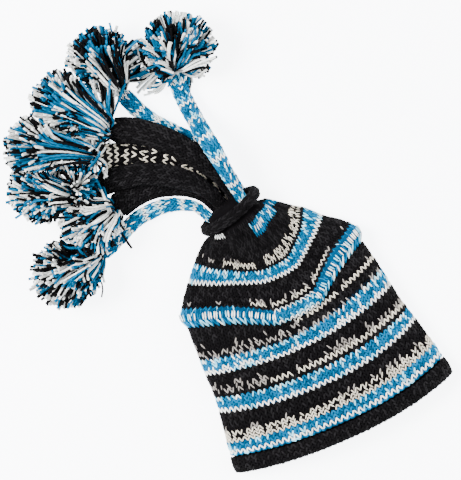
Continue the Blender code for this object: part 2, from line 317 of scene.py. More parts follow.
class KnitNet:
    """A knitted surface as a net of points: stations run along it and wales round it."""

    PER_WALE = 4
    RULER_POINTS = 40

    def __init__(self, stations: np.ndarray, rings: list[np.ndarray], wales: int) -> None:
        """Spaces the wales evenly round each ring.

        Args:
            stations: the place of each ring along the surface, rising.
            rings: each ring's points in mm, from the first wale on.
            wales: how many columns of stitches go round.
        """
        self.stations = stations
        self.wales = wales
        self.points = np.array([spread_round(ring, wales * self.PER_WALE) for ring in rings])
        along = np.gradient(self.points, axis=0)
        wrapped = np.concatenate([self.points[:, -2:-1], self.points, self.points[:, 1:2]], axis=1)
        across = np.gradient(wrapped, axis=1)[:, 1:-1]
        normals = np.cross(along, across)
        self.normals = normals / np.linalg.norm(normals, axis=2, keepdims=True)

    def read(self, net: np.ndarray, station: np.ndarray, wale: np.ndarray) -> np.ndarray:
        """Reads a net between its points.

        Args:
            net: the points or the normals.
            station: places along the surface.
            wale: places round it, in wales.

        Returns:
            The net's value at each place.
        """
        row = np.interp(station, self.stations, np.arange(len(self.stations)))
        column = np.mod(wale, self.wales) * self.PER_WALE
        low = np.clip(row.astype(int), 0, len(self.stations) - 2)
        left = np.clip(column.astype(int), 0, self.wales * self.PER_WALE - 1)
        up, side = (row - low)[..., None], (column - left)[..., None]
        return ((net[low, left] * (1 - side) + net[low, left + 1] * side) * (1 - up)
                + (net[low + 1, left] * (1 - side) + net[low + 1, left + 1] * side) * up)

    def point(self, station: np.ndarray, wale: np.ndarray) -> np.ndarray:
        """Gives the surface's point at each place, in mm."""
        return self.read(self.points, station, wale)

    def normal(self, station: np.ndarray, wale: np.ndarray) -> np.ndarray:
        """Gives the way out of the surface at each place."""
        return self.read(self.normals, station, wale)

    def wale_across(self, station: np.ndarray, wale: np.ndarray) -> np.ndarray:
        """Gives the step from one side of a wale to the other at each place, in mm."""
        return self.point(station, wale + 0.5) - self.point(station, wale - 0.5)

    def station_after(self, start: float, end: float, run: np.ndarray,
                      wale: np.ndarray) -> np.ndarray:
        """Finds the station a given way up each wale, measured along the surface.

        Args:
            start: the station to measure from.
            end: the last station to look at.
            run: the way up in mm, for each wale.
            wale: the wales.

        Returns:
            The station for each wale, past the end where the wale is shorter than the run.
        """
        stations = np.linspace(start, end, self.RULER_POINTS)
        found = np.empty(len(wale))
        for i, (way, one) in enumerate(zip(run, wale)):
            line = self.point(stations, np.full(len(stations), one))
            along = run_along(line)
            over = max(way - along[-1], 0.0) + min(way, 0.0)
            found[i] = np.interp(way, along, stations) + over * (end - start) / along[-1]
        return found


class Band(NamedTuple):
    """Rows of one stretch of knitting, in letters from its low end to its high end."""

    start: float
    end: float
    chart: str
    pitch: float = 0.0       # mm from row to row, or 0 where the rows share the stretch evenly
    first: int = 0           # the first wale that it covers
    last: int = 1000         # the wale after the last
    loops: bool = False      # True where the legs stand side by side as stretched loops


@dataclass
class Stitches:
    """The legs of all stitches of one piece: each goes from a foot to the tip of its stitch."""

    net: KnitNet
    dice: np.random.Generator
    foot_spread: float = 0.49       # of a wale, from the stitch's middle
    tip_spread: float = 0.04
    loop_spread: float = 0.19       # where the stitches are stretched into loops
    loop_lift: float = 0.9          # mm
    foot_back: float = 0.34         # of a row, how far a foot reaches under the row before
    width: float = 0.38             # of a wale
    thickness: float = 0.40
    tip_lift: float = 0.40          # mm out of the fabric
    foot_sink: float = 0.45
    waver: float = 0.20             # mm
    floor_gap: float = 0.1          # mm
    shades: tuple[float, float] = (0.88, 1.08)
    plumpness: tuple[float, float] = (0.92, 1.1)
    feet: list[np.ndarray] = field(default_factory=list)
    tips: list[np.ndarray] = field(default_factory=list)
    normals: list[np.ndarray] = field(default_factory=list)
    spacings: list[np.ndarray] = field(default_factory=list)
    colours: list[np.ndarray] = field(default_factory=list)

    def station(self, band: Band, row: float, wale: np.ndarray) -> np.ndarray:
        """Finds how far along the surface a row is.

        Args:
            band: the stretch that the row is in.
            row: the row's number from the low end of the stretch.
            wale: the places round the surface, in wales.

        Returns:
            The station at each place.
        """
        if band.pitch:
            run = np.full(len(wale), row * band.pitch)
            return self.net.station_after(band.start, band.end, run, wale)
        return np.full(len(wale), band.start + (band.end - band.start) * row / len(band.chart))

    def add_band(self, band: Band) -> None:
        """Lays the rows of one band.

        Args:
            band: the stretch, with its chart and the wales that it covers.
        """
        middles = np.arange(band.first, min(band.last, self.net.wales), dtype=float)
        foot_spread = self.loop_spread if band.loops else self.foot_spread
        tip_spread = self.loop_spread if band.loops else self.tip_spread
        foot_back = 0.0 if band.loops else self.foot_back
        lift = self.loop_lift if band.loops else 0.0
        for row, letter in enumerate(band.chart):
            mix = MIXES[letter]
            yarns = self.draw_yarns(mix, len(middles))
            for side in (-1, 1):
                foot_wale = middles + side * foot_spread
                tip_wale = middles + side * tip_spread
                low = self.station(band, row - foot_back, foot_wale)
                high = self.station(band, row + 1, tip_wale)
                kept = high <= band.end + SLIGHT
                if band.loops:
                    tip_wale = self.squared(low, foot_wale, high)
                if mix.by_leg:
                    yarns = self.draw_yarns(mix, len(middles))
                self.add_legs(low[kept], foot_wale[kept], high[kept], tip_wale[kept], yarns[kept],
                              mix.girth, lift)

    def squared(self, low: np.ndarray, foot_wale: np.ndarray, high: np.ndarray) -> np.ndarray:
        """Finds the tips' places that set the legs square to their row.

        Args:
            low: the feet's stations.
            foot_wale: the feet's places round the surface, in wales.
            high: the tips' stations.

        Returns:
            The tips' places round the surface, in wales.
        """
        way = self.net.point(high, foot_wale) - self.net.point(low, foot_wale)
        across = self.net.wale_across(low, foot_wale)
        slid = np.sum(way * across, axis=1) / np.sum(across * across, axis=1)
        return foot_wale - slid

    def draw_yarns(self, mix: YarnMix, count: int) -> np.ndarray:
        """Draws the yarns of some stitches.

        Args:
            mix: the row's yarns and their shares.
            count: how many stitches to draw for.

        Returns:
            A linear colour for each.
        """
        palette = np.array([linear(strand.value) for strand, _ in mix.shares])
        chances = np.array([share for _, share in mix.shares])
        return palette[self.dice.choice(len(palette), count, p=chances / chances.sum())]

    def add_legs(self, low: np.ndarray, foot_wale: np.ndarray, high: np.ndarray,
                 tip_wale: np.ndarray, yarns: np.ndarray, girth: float, lift: float) -> None:
        """Adds a leg for each foot and tip, and keeps it above the floor.

        Args:
            low: the feet's stations.
            foot_wale: the feet's places round the surface, in wales.
            high: the tips' stations.
            tip_wale: the tips' places round the surface, in wales.
            yarns: the legs' colours.
            girth: share of a plain leg's thickness.
            lift: how far the legs lie out of the fabric, in mm.
        """
        foot_normal = self.net.normal(low, foot_wale)
        tip_normal = self.net.normal(high, tip_wale)
        feet = self.net.point(low, foot_wale) + foot_normal * (lift - self.foot_sink)
        tips = self.net.point(high, tip_wale) + tip_normal * (lift + self.tip_lift)
        spacing = np.linalg.norm(self.net.wale_across(high, tip_wale), axis=1)
        feet += self.dice.normal(0.0, self.waver, feet.shape)
        tips += self.dice.normal(0.0, self.waver, tips.shape)
        lowest = spacing * self.thickness * 0.5 + self.floor_gap
        feet[:, 2] = np.maximum(feet[:, 2], lowest)
        tips[:, 2] = np.maximum(tips[:, 2], lowest)
        self.feet.append(feet)
        self.tips.append(tips)
        self.normals.append((foot_normal + tip_normal) / 2)
        self.spacings.append(spacing * girth)
        self.colours.append(yarns * self.dice.uniform(*self.shades, (len(yarns), 1)))

    def places(self, name: str) -> bpy.types.Object:
        """Makes an object with one loose vertex for each leg.

        Args:
            name: the object's name.

        Returns:
            The object, which carries each leg's turn, size and colour.
        """
        feet, tips = np.vstack(self.feet), np.vstack(self.tips)
        way = tips - feet
        length = np.linalg.norm(way, axis=1, keepdims=True)
        way = way / length
        across = np.cross(np.vstack(self.normals), way)
        across /= np.linalg.norm(across, axis=1, keepdims=True)
        out = np.cross(way, across)
        turns = [Matrix((a, o, w)).transposed().to_quaternion()
                 for a, o, w in zip(across, out, way)]
        spacing = np.concatenate(self.spacings)[:, None]
        plump = self.dice.uniform(*self.plumpness, spacing.shape)
        size = np.hstack([spacing * self.width * plump, spacing * self.thickness * plump, length])
        return add_places(name, (feet + tips) / 2, {
            "lay_turn": ("QUATERNION", np.array([list(turn) for turn in turns])),
            "lay_size": ("FLOAT_VECTOR", size * MM),
            "yarn": ("FLOAT_COLOR", np.vstack(self.colours)),
        })


def add_object(name: str, data: bpy.types.ID) -> bpy.types.Object:
    """Makes an object, and links it to the scene.

    Args:
        name: the object's name.
        data: its mesh, camera or light.

    Returns:
        The object.
    """
    obj = bpy.data.objects.new(name, data)
    bpy.context.scene.collection.objects.link(obj)
    return obj


def add_places(name: str, points: np.ndarray,
               facts: dict[str, tuple[str, np.ndarray]]) -> bpy.types.Object:
    """Makes an object of loose vertices that carry attributes.

    Args:
        name: the object's name.
        points: the places in mm.
        facts: the type and the values of each attribute.

    Returns:
        The object, linked to the scene.
    """
    mesh = bpy.data.meshes.new(name)
    mesh.from_pydata((points * MM).tolist(), [], [])
    fields = {"FLOAT_COLOR": "color", "FLOAT_VECTOR": "vector"}
    for title, (kind, values) in facts.items():
        attribute = mesh.attributes.new(title, kind, "POINT")
        attribute.data.foreach_set(fields.get(kind, "value"), values.astype(np.float32).ravel())
    return add_object(name, mesh)


def loft(name: str, rings: list[np.ndarray], painted_shades: list[PaintedShade],
         joined_ends: bool = False) -> bpy.types.Object:
    """Makes a closed body through rings of points: capped, or joined last to first.

    Args:
        name: the object's name.
        rings: each ring's points in mm.
        painted_shades: the colour of each ring, in painted shade darker than the yarn over it.
        joined_ends: True to join the last ring to the first.

    Returns:
        The object, with its faces outwards and its colours in the attribute named yarn.
    """
    bm = bmesh.new()
    tint = bm.verts.layers.float_color.new("yarn")
    loops = []
    for ring, ground in zip(rings, painted_shades):
        loops.append([bm.verts.new(Vector(point) * MM) for point in ring])
        for vert in loops[-1]:
            vert[tint] = linear(ground.value)
    pairs = list(zip(loops, loops[1:]))
    if joined_ends:
        pairs.append((loops[-1], loops[0]))
    for low, high in pairs:
        for i in range(len(low)):
            after = (i + 1) % len(low)
            bm.faces.new((low[i], high[i], high[after], low[after]))
    if not joined_ends:
        for loop in (loops[0], loops[-1]):
            middle = bm.verts.new(sum((v.co for v in loop), Vector()) / len(loop))
            middle[tint] = loop[0][tint]
            for i in range(len(loop)):
                bm.faces.new((loop[i], loop[(i + 1) % len(loop)], middle))
    bmesh.ops.recalc_face_normals(bm, faces=bm.faces)
    return add_mesh(name, bm)


def add_mesh(name: str, bm: bmesh.types.BMesh) -> bpy.types.Object:
    """Turns a bmesh into a smooth object, and frees it.

    Args:
        name: the object's name.
        bm: the bmesh.

    Returns:
        The object, linked to the scene.
    """
    mesh = bpy.data.meshes.new(name)
    bm.to_mesh(mesh)
    bm.free()
    mesh.shade_smooth()
    return add_object(name, mesh)


def new_tree(name: str, sockets: dict[str, str]) -> bpy.types.NodeTree:
    """Starts a geometry tree with a geometry that goes in and out.

    Args:
        name: the tree's name.
        sockets: the type of each other input, by its name.

    Returns:
        The tree, with no nodes yet.
    """
    tree = bpy.data.node_groups.new(name, "GeometryNodeTree")
    tree.interface.new_socket("Geometry", in_out="INPUT", socket_type="NodeSocketGeometry")
    tree.interface.new_socket("Geometry", in_out="OUTPUT", socket_type="NodeSocketGeometry")
    for title, kind in sockets.items():
        tree.interface.new_socket(title, in_out="INPUT", socket_type=kind)
    return tree


def stored(tree: bpy.types.NodeTree, title: str, kind: str) -> bpy.types.NodeSocket:
    """Reads a named attribute in a geometry tree.

    Args:
        tree: the tree.
        title: the attribute's name.
        kind: its type.

    Returns:
        The socket that gives it.
    """
    node = add_node(tree, "GeometryNodeInputNamedAttribute", {"Name": title}, data_type=kind)
    return node.outputs["Attribute"]


def knit_tree() -> bpy.types.NodeTree:
    """Builds the tree that lays a plump leg of yarn at each place, over a ground fabric.

    Returns:
        The tree. Its named inputs are the places, the leg's sides, segments, bluntness and
        narrowing, and the yarn.
    """
    tree = new_tree("Stitches on fabric", {
        "Stitch Places": "NodeSocketObject", "Leg Sides": "NodeSocketInt",
        "Leg Segments": "NodeSocketInt", "Bluntness": "NodeSocketFloat",
        "Narrowing": "NodeSocketFloat", "Yarn": "NodeSocketMaterial"})
    given = add_node(tree, "NodeGroupInput").outputs
    places = add_node(tree, "GeometryNodeObjectInfo", {"Object": given["Stitch Places"]})
    leg = add_node(tree, "GeometryNodeMeshCylinder", {
        "Vertices": given["Leg Sides"], "Side Segments": given["Leg Segments"],
        "Radius": 0.5, "Depth": 1.0})
    here = add_node(tree, "GeometryNodeInputPosition").outputs[0]
    along = add_node(tree, "ShaderNodeSeparateXYZ", {0: here}).outputs["Z"]
    reach = worked_out(tree, "ABSOLUTE", worked_out(tree, "MULTIPLY", along, 2.0))
    fall = worked_out(tree, "POWER", reach, given["Bluntness"])
    left = worked_out(tree, "MULTIPLY_ADD", fall, given["Narrowing"], 1.0)
    girth = worked_out(tree, "SQRT", left)
    scale = add_node(tree, "ShaderNodeCombineXYZ", {0: girth, 1: girth, 2: 1.0})
    plump = add_node(tree, "ShaderNodeVectorMath", {
        0: here, 1: scale.outputs[0]}, operation="MULTIPLY")
    shaped = add_node(tree, "GeometryNodeSetPosition", {
        "Geometry": leg.outputs["Mesh"], "Position": plump.outputs[0]})
    mapped = add_node(tree, "GeometryNodeStoreNamedAttribute", {
        "Geometry": shaped.outputs[0], "Name": "UVMap", "Value": leg.outputs["UV Map"]},
        data_type="FLOAT2", domain="CORNER")
    laid = add_node(tree, "GeometryNodeInstanceOnPoints", {
        "Points": places.outputs["Geometry"], "Instance": mapped.outputs[0],
        "Rotation": stored(tree, "lay_turn", "QUATERNION"),
        "Scale": stored(tree, "lay_size", "FLOAT_VECTOR")})
    finish_tree(tree, laid.outputs[0], given)
    return tree


def finish_tree(tree: bpy.types.NodeTree, made: bpy.types.NodeSocket,
                given: bpy.types.bpy_prop_collection) -> None:
    """Joins what a tree made to the object's own mesh, as plain geometry in its yarn.

    Args:
        tree: the tree to finish.
        made: the socket that gives what the tree made.
        given: the sockets of the tree's inputs.
    """
    smooth = add_node(tree, "GeometryNodeSetShadeSmooth", {"Geometry": made})
    whole = add_node(tree, "GeometryNodeJoinGeometry")
    tree.links.new(given["Geometry"], whole.inputs[0])
    tree.links.new(smooth.outputs[0], whole.inputs[0])
    plain = add_node(tree, "GeometryNodeRealizeInstances", {"Geometry": whole.outputs[0]})
    tidy = add_node(tree, "GeometryNodeRemoveAttribute", {
        "Geometry": plain.outputs[0], "Name": "lay_*"}, pattern_mode="WILDCARD")
    dressed = add_node(tree, "GeometryNodeSetMaterial", {
        "Geometry": tidy.outputs[0], "Material": given["Yarn"]})
    add_node(tree, "NodeGroupOutput", {"Geometry": dressed.outputs[0]})


# The attributes that carry the four points of a strand.
STRAND_POINTS = ("lay_start", "lay_leave", "lay_arrive", "lay_end")


def strand_tree() -> bpy.types.NodeTree:
    """Builds the tree that grows a bent, blunt strand of yarn from each place, round a core.

    Returns:
        The tree. Its named inputs are the places, the strand's sides and points, its girth at
        the knot and at the cut end, how often the plies' pattern repeats, and the yarn.
    """
    tree = new_tree("Pompom strands", {
        "Strand Places": "NodeSocketObject", "Strand Sides": "NodeSocketInt",
        "Strand Points": "NodeSocketInt", "Ply Repeats": "NodeSocketFloat",
        "Knot Girth": "NodeSocketFloat", "End Girth": "NodeSocketFloat",
        "Yarn": "NodeSocketMaterial"})
    given = add_node(tree, "NodeGroupInput").outputs
    places = add_node(tree, "GeometryNodeObjectInfo", {"Object": given["Strand Places"]})
    line = add_node(tree, "GeometryNodeCurvePrimitiveLine")
    cut = add_node(tree, "GeometryNodeResampleCurve", {
        "Curve": line.outputs[0], "Count": given["Strand Points"]})
    laid = add_node(tree, "GeometryNodeInstanceOnPoints", {
        "Points": places.outputs["Geometry"], "Instance": cut.outputs[0]})
    lines = add_node(tree, "GeometryNodeRealizeInstances", {"Geometry": laid.outputs[0]})
    share = add_node(tree, "GeometryNodeSplineParameter").outputs["Factor"]
    bends = [stored(tree, title, "FLOAT_VECTOR") for title in STRAND_POINTS]
    while len(bends) > 1:
        bends = [add_node(tree, "ShaderNodeMix", {0: share, 4: low, 5: high},
                          data_type="VECTOR").outputs[1] for low, high in zip(bends, bends[1:])]
    bent = add_node(tree, "GeometryNodeSetPosition", {
        "Geometry": lines.outputs[0], "Position": bends[0]})
    swell = add_node(tree, "ShaderNodeMapRange", {
        "Value": share, "From Min": 0.0, "From Max": 1.0, "To Min": given["Knot Girth"],
        "To Max": given["End Girth"]})
    girth = worked_out(tree, "MULTIPLY", swell.outputs[0], stored(tree, "lay_radius", "FLOAT"))
    way_out = add_node(tree, "GeometryNodeStoreNamedAttribute", {
        "Geometry": bent.outputs[0], "Name": "lay_out", "Value": share}, domain="POINT")
    rim = add_node(tree, "GeometryNodeCurvePrimitiveCircle", {
        "Resolution": given["Strand Sides"], "Radius": 1.0})
    way_round = add_node(tree, "GeometryNodeStoreNamedAttribute", {
        "Geometry": rim.outputs[0], "Name": "lay_round", "Value": share}, domain="POINT")
    skin = add_node(tree, "GeometryNodeCurveToMesh", {
        "Curve": way_out.outputs[0], "Profile Curve": way_round.outputs[0],
        "Scale": girth, "Fill Caps": True})
    run = worked_out(tree, "MULTIPLY", stored(tree, "lay_out", "FLOAT"), given["Ply Repeats"])
    flat = add_node(tree, "ShaderNodeCombineXYZ", {0: stored(tree, "lay_round", "FLOAT"), 1: run})
    mapped = add_node(tree, "GeometryNodeStoreNamedAttribute", {
        "Geometry": skin.outputs[0], "Name": "UVMap", "Value": flat.outputs[0]},
        data_type="FLOAT2", domain="CORNER")
    finish_tree(tree, mapped.outputs[0], given)
    return tree


@dataclass
class Workroom:
    """The trees and the yarn that all pieces share."""

    knit: bpy.types.NodeTree
    strands: bpy.types.NodeTree
    yarn: bpy.types.Material
    leg_sides: int = 5
    leg_segments: int = 3
    leg_bluntness: float = 2.6
    leg_narrowing: float = -0.78       # of the leg's section, at its two ends
    strand_sides: int = 4
    strand_points: int = 7
    ply_repeats: float = 4.0
    knot_girth: float = 0.66           # of the strand's radius
    end_girth: float = 1.14

    def knit_over(self, fabric: bpy.types.Object, places: bpy.types.Object) -> bpy.types.Object:
        """Lays stitches over a fabric.

        Args:
            fabric: the fabric's object.
            places: the stitches' places.

        Returns:
            The fabric's object, with the stitches in its mesh.
        """
        return self.bake(fabric, places, self.knit, {
            "Stitch Places": places, "Leg Sides": self.leg_sides, "Yarn": self.yarn,
            "Leg Segments": self.leg_segments, "Bluntness": self.leg_bluntness,
            "Narrowing": self.leg_narrowing})

    def grow_over(self, core: bpy.types.Object, places: bpy.types.Object) -> bpy.types.Object:
        """Grows strands round a core.

        Args:
            core: the core's object.
            places: the strands' places.

        Returns:
            The core's object, with the strands in its mesh.
        """
        return self.bake(core, places, self.strands, {
            "Strand Places": places, "Strand Sides": self.strand_sides, "Yarn": self.yarn,
            "Strand Points": self.strand_points, "Ply Repeats": self.ply_repeats,
            "Knot Girth": self.knot_girth, "End Girth": self.end_girth})

    @staticmethod
    def bake(obj: bpy.types.Object, places: bpy.types.Object, tree: bpy.types.NodeTree,
             values: dict[str, Any]) -> bpy.types.Object:
        """Runs a tree on an object and keeps the result as its plain mesh.

        Args:
            obj: the object that the tree adds to.
            places: the places that the tree reads, removed afterwards.
            tree: the tree.
            values: the value of each of its named inputs.

        Returns:
            The same object, without its modifier.
        """
        modifier = obj.modifiers.new(tree.name, "NODES")
        modifier.node_group = tree
        for item in tree.interface.items_tree:
            if item.in_out == "INPUT" and item.name in values:
                modifier[item.identifier] = values[item.name]
        graph = bpy.context.evaluated_depsgraph_get()
        mesh = bpy.data.meshes.new_from_object(obj.evaluated_get(graph), depsgraph=graph)
        obj.modifiers.clear()
        before = obj.data
        obj.data = mesh
        mesh.name = obj.name
        bpy.data.meshes.remove(before)
        bpy.data.meshes.remove(places.data)
        return obj


class Course(NamedTuple):
    """One row of stitches as it lies: its two side folds, its top and back middles, its height."""

    number: float
    left_x: float
    left_y: float
    right_x: float
    right_y: float
    mid_x: float
    mid_y: float
    back_y: float
    top_z: float
    floor_z: float
    tuck: float       # 0: an even bow across the top. 1: flat in the middle, with steep shoulders


COURSES = (
    #      number left_x left_y right_x right_y mid_x mid_y back_y top_z floor_z tuck
    Course(0.0, -121.5, -0.5, 121.5, -9.0, 10.0, -18.5, -11.0, 36.0, 0.0, 0.0),
    Course(4.0, -119.5, 19.0, 120.5, 12.0, 14.0, 0.0, 12.0, 41.0, 0.0, 0.0),
    Course(7.0, -117.5, 32.0, 119.0, 27.0, 18.0, 15.0, 27.0, 43.5, 0.0, 0.0),
    Course(10.0, -114.0, 46.0, 116.5, 41.0, 12.0, 28.0, 41.0, 45.5, 0.0, 0.0),
    Course(13.0, -109.5, 65.0, 113.5, 59.0, 14.0, 44.0, 58.0, 47.0, 0.0, 0.0),
    Course(16.0, -107.0, 79.0, 111.0, 72.0, 12.0, 59.0, 72.0, 48.0, 0.0, 0.0),
    Course(22.0, -105.0, 105.0, 107.0, 101.0, 6.0, 87.0, 101.0, 49.0, 0.0, 0.15),
    Course(25.0, -103.5, 121.0, 105.5, 121.0, 4.0, 101.0, 119.0, 49.0, 0.0, 0.3),
    Course(32.0, -99.5, 157.0, 101.0, 156.0, 12.0, 115.5, 152.0, 44.0, 0.0, 0.85),
    Course(35.0, -98.5, 168.0, 100.5, 167.0, 13.0, 124.0, 163.0, 43.5, 0.0, 1.0),
    Course(38.0, -95.0, 177.0, 97.0, 177.0, 13.0, 132.5, 172.0, 42.5, 0.0, 0.9),
    Course(43.0, -79.0, 196.0, 77.0, 196.0, 16.0, 160.0, 192.0, 42.0, 0.0, 0.45),
    Course(46.0, -64.0, 211.0, 64.0, 211.0, 13.0, 173.0, 206.0, 42.0, 0.0, 0.2),
    Course(49.0, -54.0, 220.0, 54.0, 219.0, 10.0, 187.0, 215.0, 43.0, 0.0, 0.0),
    Course(52.0, -44.0, 227.0, 43.0, 229.0, 2.0, 207.0, 224.0, 45.0, 1.0, 0.0),
    Course(55.0, -37.0, 229.0, 32.0, 238.0, -4.0, 226.0, 234.0, 47.0, 5.0, 0.0),
)

# The top's rise in a tucked course, at each share of the way from its middle to its side.
TUCK_REACH = (0.0, 0.25, 0.42, 0.60, 0.80, 1.0)
TUCK_RISE = (0.0, 0.06, 0.36, 0.62, 0.82, 1.0)

# The crown's rows from the brim to the neck. Of its 80 wales, 0 to 20 lie on top from the middle
# to the left side, 20 to 60 lie underneath and 60 to 80 lie on top from the right side inwards.
CROWN_BANDS = (
    Band(3.75, 7.3, "CWCC"),
    Band(7.3, 10.6, "ZHHf"),
    Band(10.6, 13.0, "KKK"),
    Band(13.0, 16.3, "WCCP"),
    Band(16.3, 22.0, "KggfKK", first=9, last=30),
    Band(16.3, 22.0, "KZfKKK", first=0, last=9),
    Band(16.3, 22.0, "KZgfKK", first=30),
    Band(22.0, 25.0, "WwCP"),
    Band(25.0, 32.3, "fgffKKKKKK", 4.1, first=0, last=40),
    Band(25.0, 32.3, "gKKZfKKKKK", 4.1, first=40),
    Band(32.3, 37.7, "WPCCW", first=0, last=3),
    Band(32.3, 34.0, "P", first=3, last=75),
    Band(34.0, 36.0, "L", first=3, last=75, loops=True),
    Band(36.0, 37.7, "C", first=3, last=75),
    Band(32.3, 37.7, "WPCCW", first=75),
    Band(37.7, 43.0, "KZfKKKK", first=0, last=7),
    Band(37.7, 43.0, "KfKKKKK", first=7, last=68),
    Band(37.7, 43.0, "KZfKKKK", first=68),
    Band(43.0, 46.0, "WCCP"),
    Band(46.0, 49.0, "KKKK", first=0, last=3),
    Band(46.0, 49.0, "KhZf", first=3, last=12),
    Band(46.0, 49.0, "KKfK", first=12, last=40),
    Band(46.0, 49.0, "KHhH", first=40),
    Band(49.0, 52.0, "KKKK"),
    Band(52.0, 55.0, "KKK", first=0, last=10),
    Band(52.0, 53.6, "KK", first=10, last=15),
    Band(53.6, 55.0, "W", first=10, last=15),
    Band(52.0, 55.0, "KKK", first=15, last=58),
    Band(52.0, 54.2, "CwC", first=58, last=78),
    Band(54.2, 55.0, "K", first=58, last=78),
    Band(52.0, 55.0, "KKK", first=78),
)


def painted_shade_at(number: float) -> PaintedShade:
    """Finds the painted shade of the fabric under the stitches, darker than the yarn over it.

    Args:
        number: the course.

    Returns:
        The ground of the band that the course is in.
    """
    for band in CROWN_BANDS:
        if band.start <= number < band.end:
            row = int((number - band.start) / (band.end - band.start) * len(band.chart))
            return MIXES[band.chart[row]].ground
    return PaintedShade.DARK


def dress(piece: bpy.types.Object, node: str) -> None:
    """Puts a finished piece on the hat's one body, in place of the node that it stands for.

    Args:
        piece: the piece.
        node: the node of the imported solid.
    """
    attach(piece, "root")
    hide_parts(node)
    LOG.info("%s stands for %s: %d faces", piece.name, node, len(piece.data.polygons))


def knit_piece(room: Workroom, fabric: bpy.types.Object, net: KnitNet, chart: str,
               row_pitch: float, seed: int) -> bpy.types.Object:
    """Covers a fabric with rows of stitches from one end to the other.

    Args:
        room: the trees and the yarn.
        fabric: the fabric's object.
        net: the surface that the stitches lie on.
        chart: the rows' letters, which are repeated as far as the fabric goes.
        row_pitch: the way from row to row, in mm.
        seed: the seed of the stitches' random draws.

    Returns:
        The fabric's object, with the stitches in its mesh.
    """
    length = net.stations[-1]
    rows = round(length / row_pitch)
    stitches = Stitches(net, np.random.default_rng(seed))
    stitches.add_band(Band(0.0, length, (chart * rows)[:rows]))
    return room.knit_over(fabric, stitches.places(fabric.name + "_places"))


@dataclass
class Tie:
    """The black knitted roll round the gathered neck."""

    radius: float = 6.5
    centre: tuple[float, float, float] = (-6.0, 242.4, 26.6)
    half_width: float = 31.0
    half_height: float = 20.0
    turn: float = math.radians(12.0)       # seen from above
    lean: float = 0.30                     # to the brim, for each mm of height
    wales: int = 8
    row_pitch: float = 4.1
    ground_inset: float = 1.6
    stitch_inset: float = 1.2
    section_points: int = 14
    ring_points: int = 96
    seed: int = 21

    def plane(self) -> tuple[Vector, Vector, Vector, Vector]:
        """Gives the plane that the roll lies in.

        Returns:
            Its middle, the way across it, the way up it and the way from it to the tubes.
        """
        across = Vector((math.cos(self.turn), math.sin(self.turn), 0.0))
        up = Vector((math.sin(self.turn) * self.lean, -math.cos(self.turn) * self.lean, 1.0))
        up.normalize()
        return Vector(self.centre), across, up, up.cross(across).normalized()

    def neck_ring(self, angles: np.ndarray, forward: float, inset: float) -> np.ndarray:
        """Gives a ring of the neck where it passes through the tie.

        Args:
            angles: the places round the neck.
            forward: how far the ring lies towards the tubes, in mm.
            inset: how far it lies inside the tie, in mm.

        Returns:
            The ring's points in mm.
        """
        centre, across, up, ahead = (np.array(v) for v in self.plane())
        room = self.radius + inset
        return (centre + ahead * forward
                + np.outer(np.cos(angles), across) * (self.half_width - room)
                + np.outer(np.sin(angles), up) * (self.half_height - room))

    def section(self, angle: float, radius: float, count: int) -> np.ndarray:
        """Gives the roll's section at one angle round the neck.

        Args:
            angle: the place round the neck.
            radius: the section's radius in mm.
            count: how many points go round it.

        Returns:
            The section's points in mm.
        """
        centre, across, up, ahead = (np.array(v) for v in self.plane())
        middle = (centre + across * self.half_width * math.cos(angle)
                  + up * self.half_height * math.sin(angle))
        away = across * math.cos(angle) / self.half_width + up * math.sin(angle) / self.half_height
        away /= np.linalg.norm(away)
        turns = np.linspace(0.0, 2 * math.pi, count, endpoint=False)
        return middle + radius * (np.outer(np.cos(turns), away) + np.outer(np.sin(turns), ahead))

    def build(self, room: Workroom) -> bpy.types.Object:
        """Makes the roll: its ground and its stitches in one mesh.

        Args:
            room: the trees and the yarn.

        Returns:
            The piece.
        """
        angles = np.linspace(0.0, 2 * math.pi, self.ring_points, endpoint=False)
        rings = [self.section(a, self.radius - self.ground_inset, self.section_points)
                 for a in angles]
        # The roll's fabric under its stitches is in the darkest painted shade.
        fabric = loft("neck_tie_knit", rings, [PaintedShade.DARK] * len(rings), joined_ends=True)
        ring_length = math.pi * (self.half_width + self.half_height)
        stations = np.linspace(0.0, ring_length, self.ring_points + 1)
        lines = [self.section(-2 * math.pi * s / ring_length, self.radius - self.stitch_inset,
                              KnitNet.PER_WALE * self.wales) for s in stations]
        net = KnitNet(stations, lines, self.wales)
        piece = knit_piece(room, fabric, net, "K", self.row_pitch, self.seed)
        dress(piece, "neck_tie")
        return piece


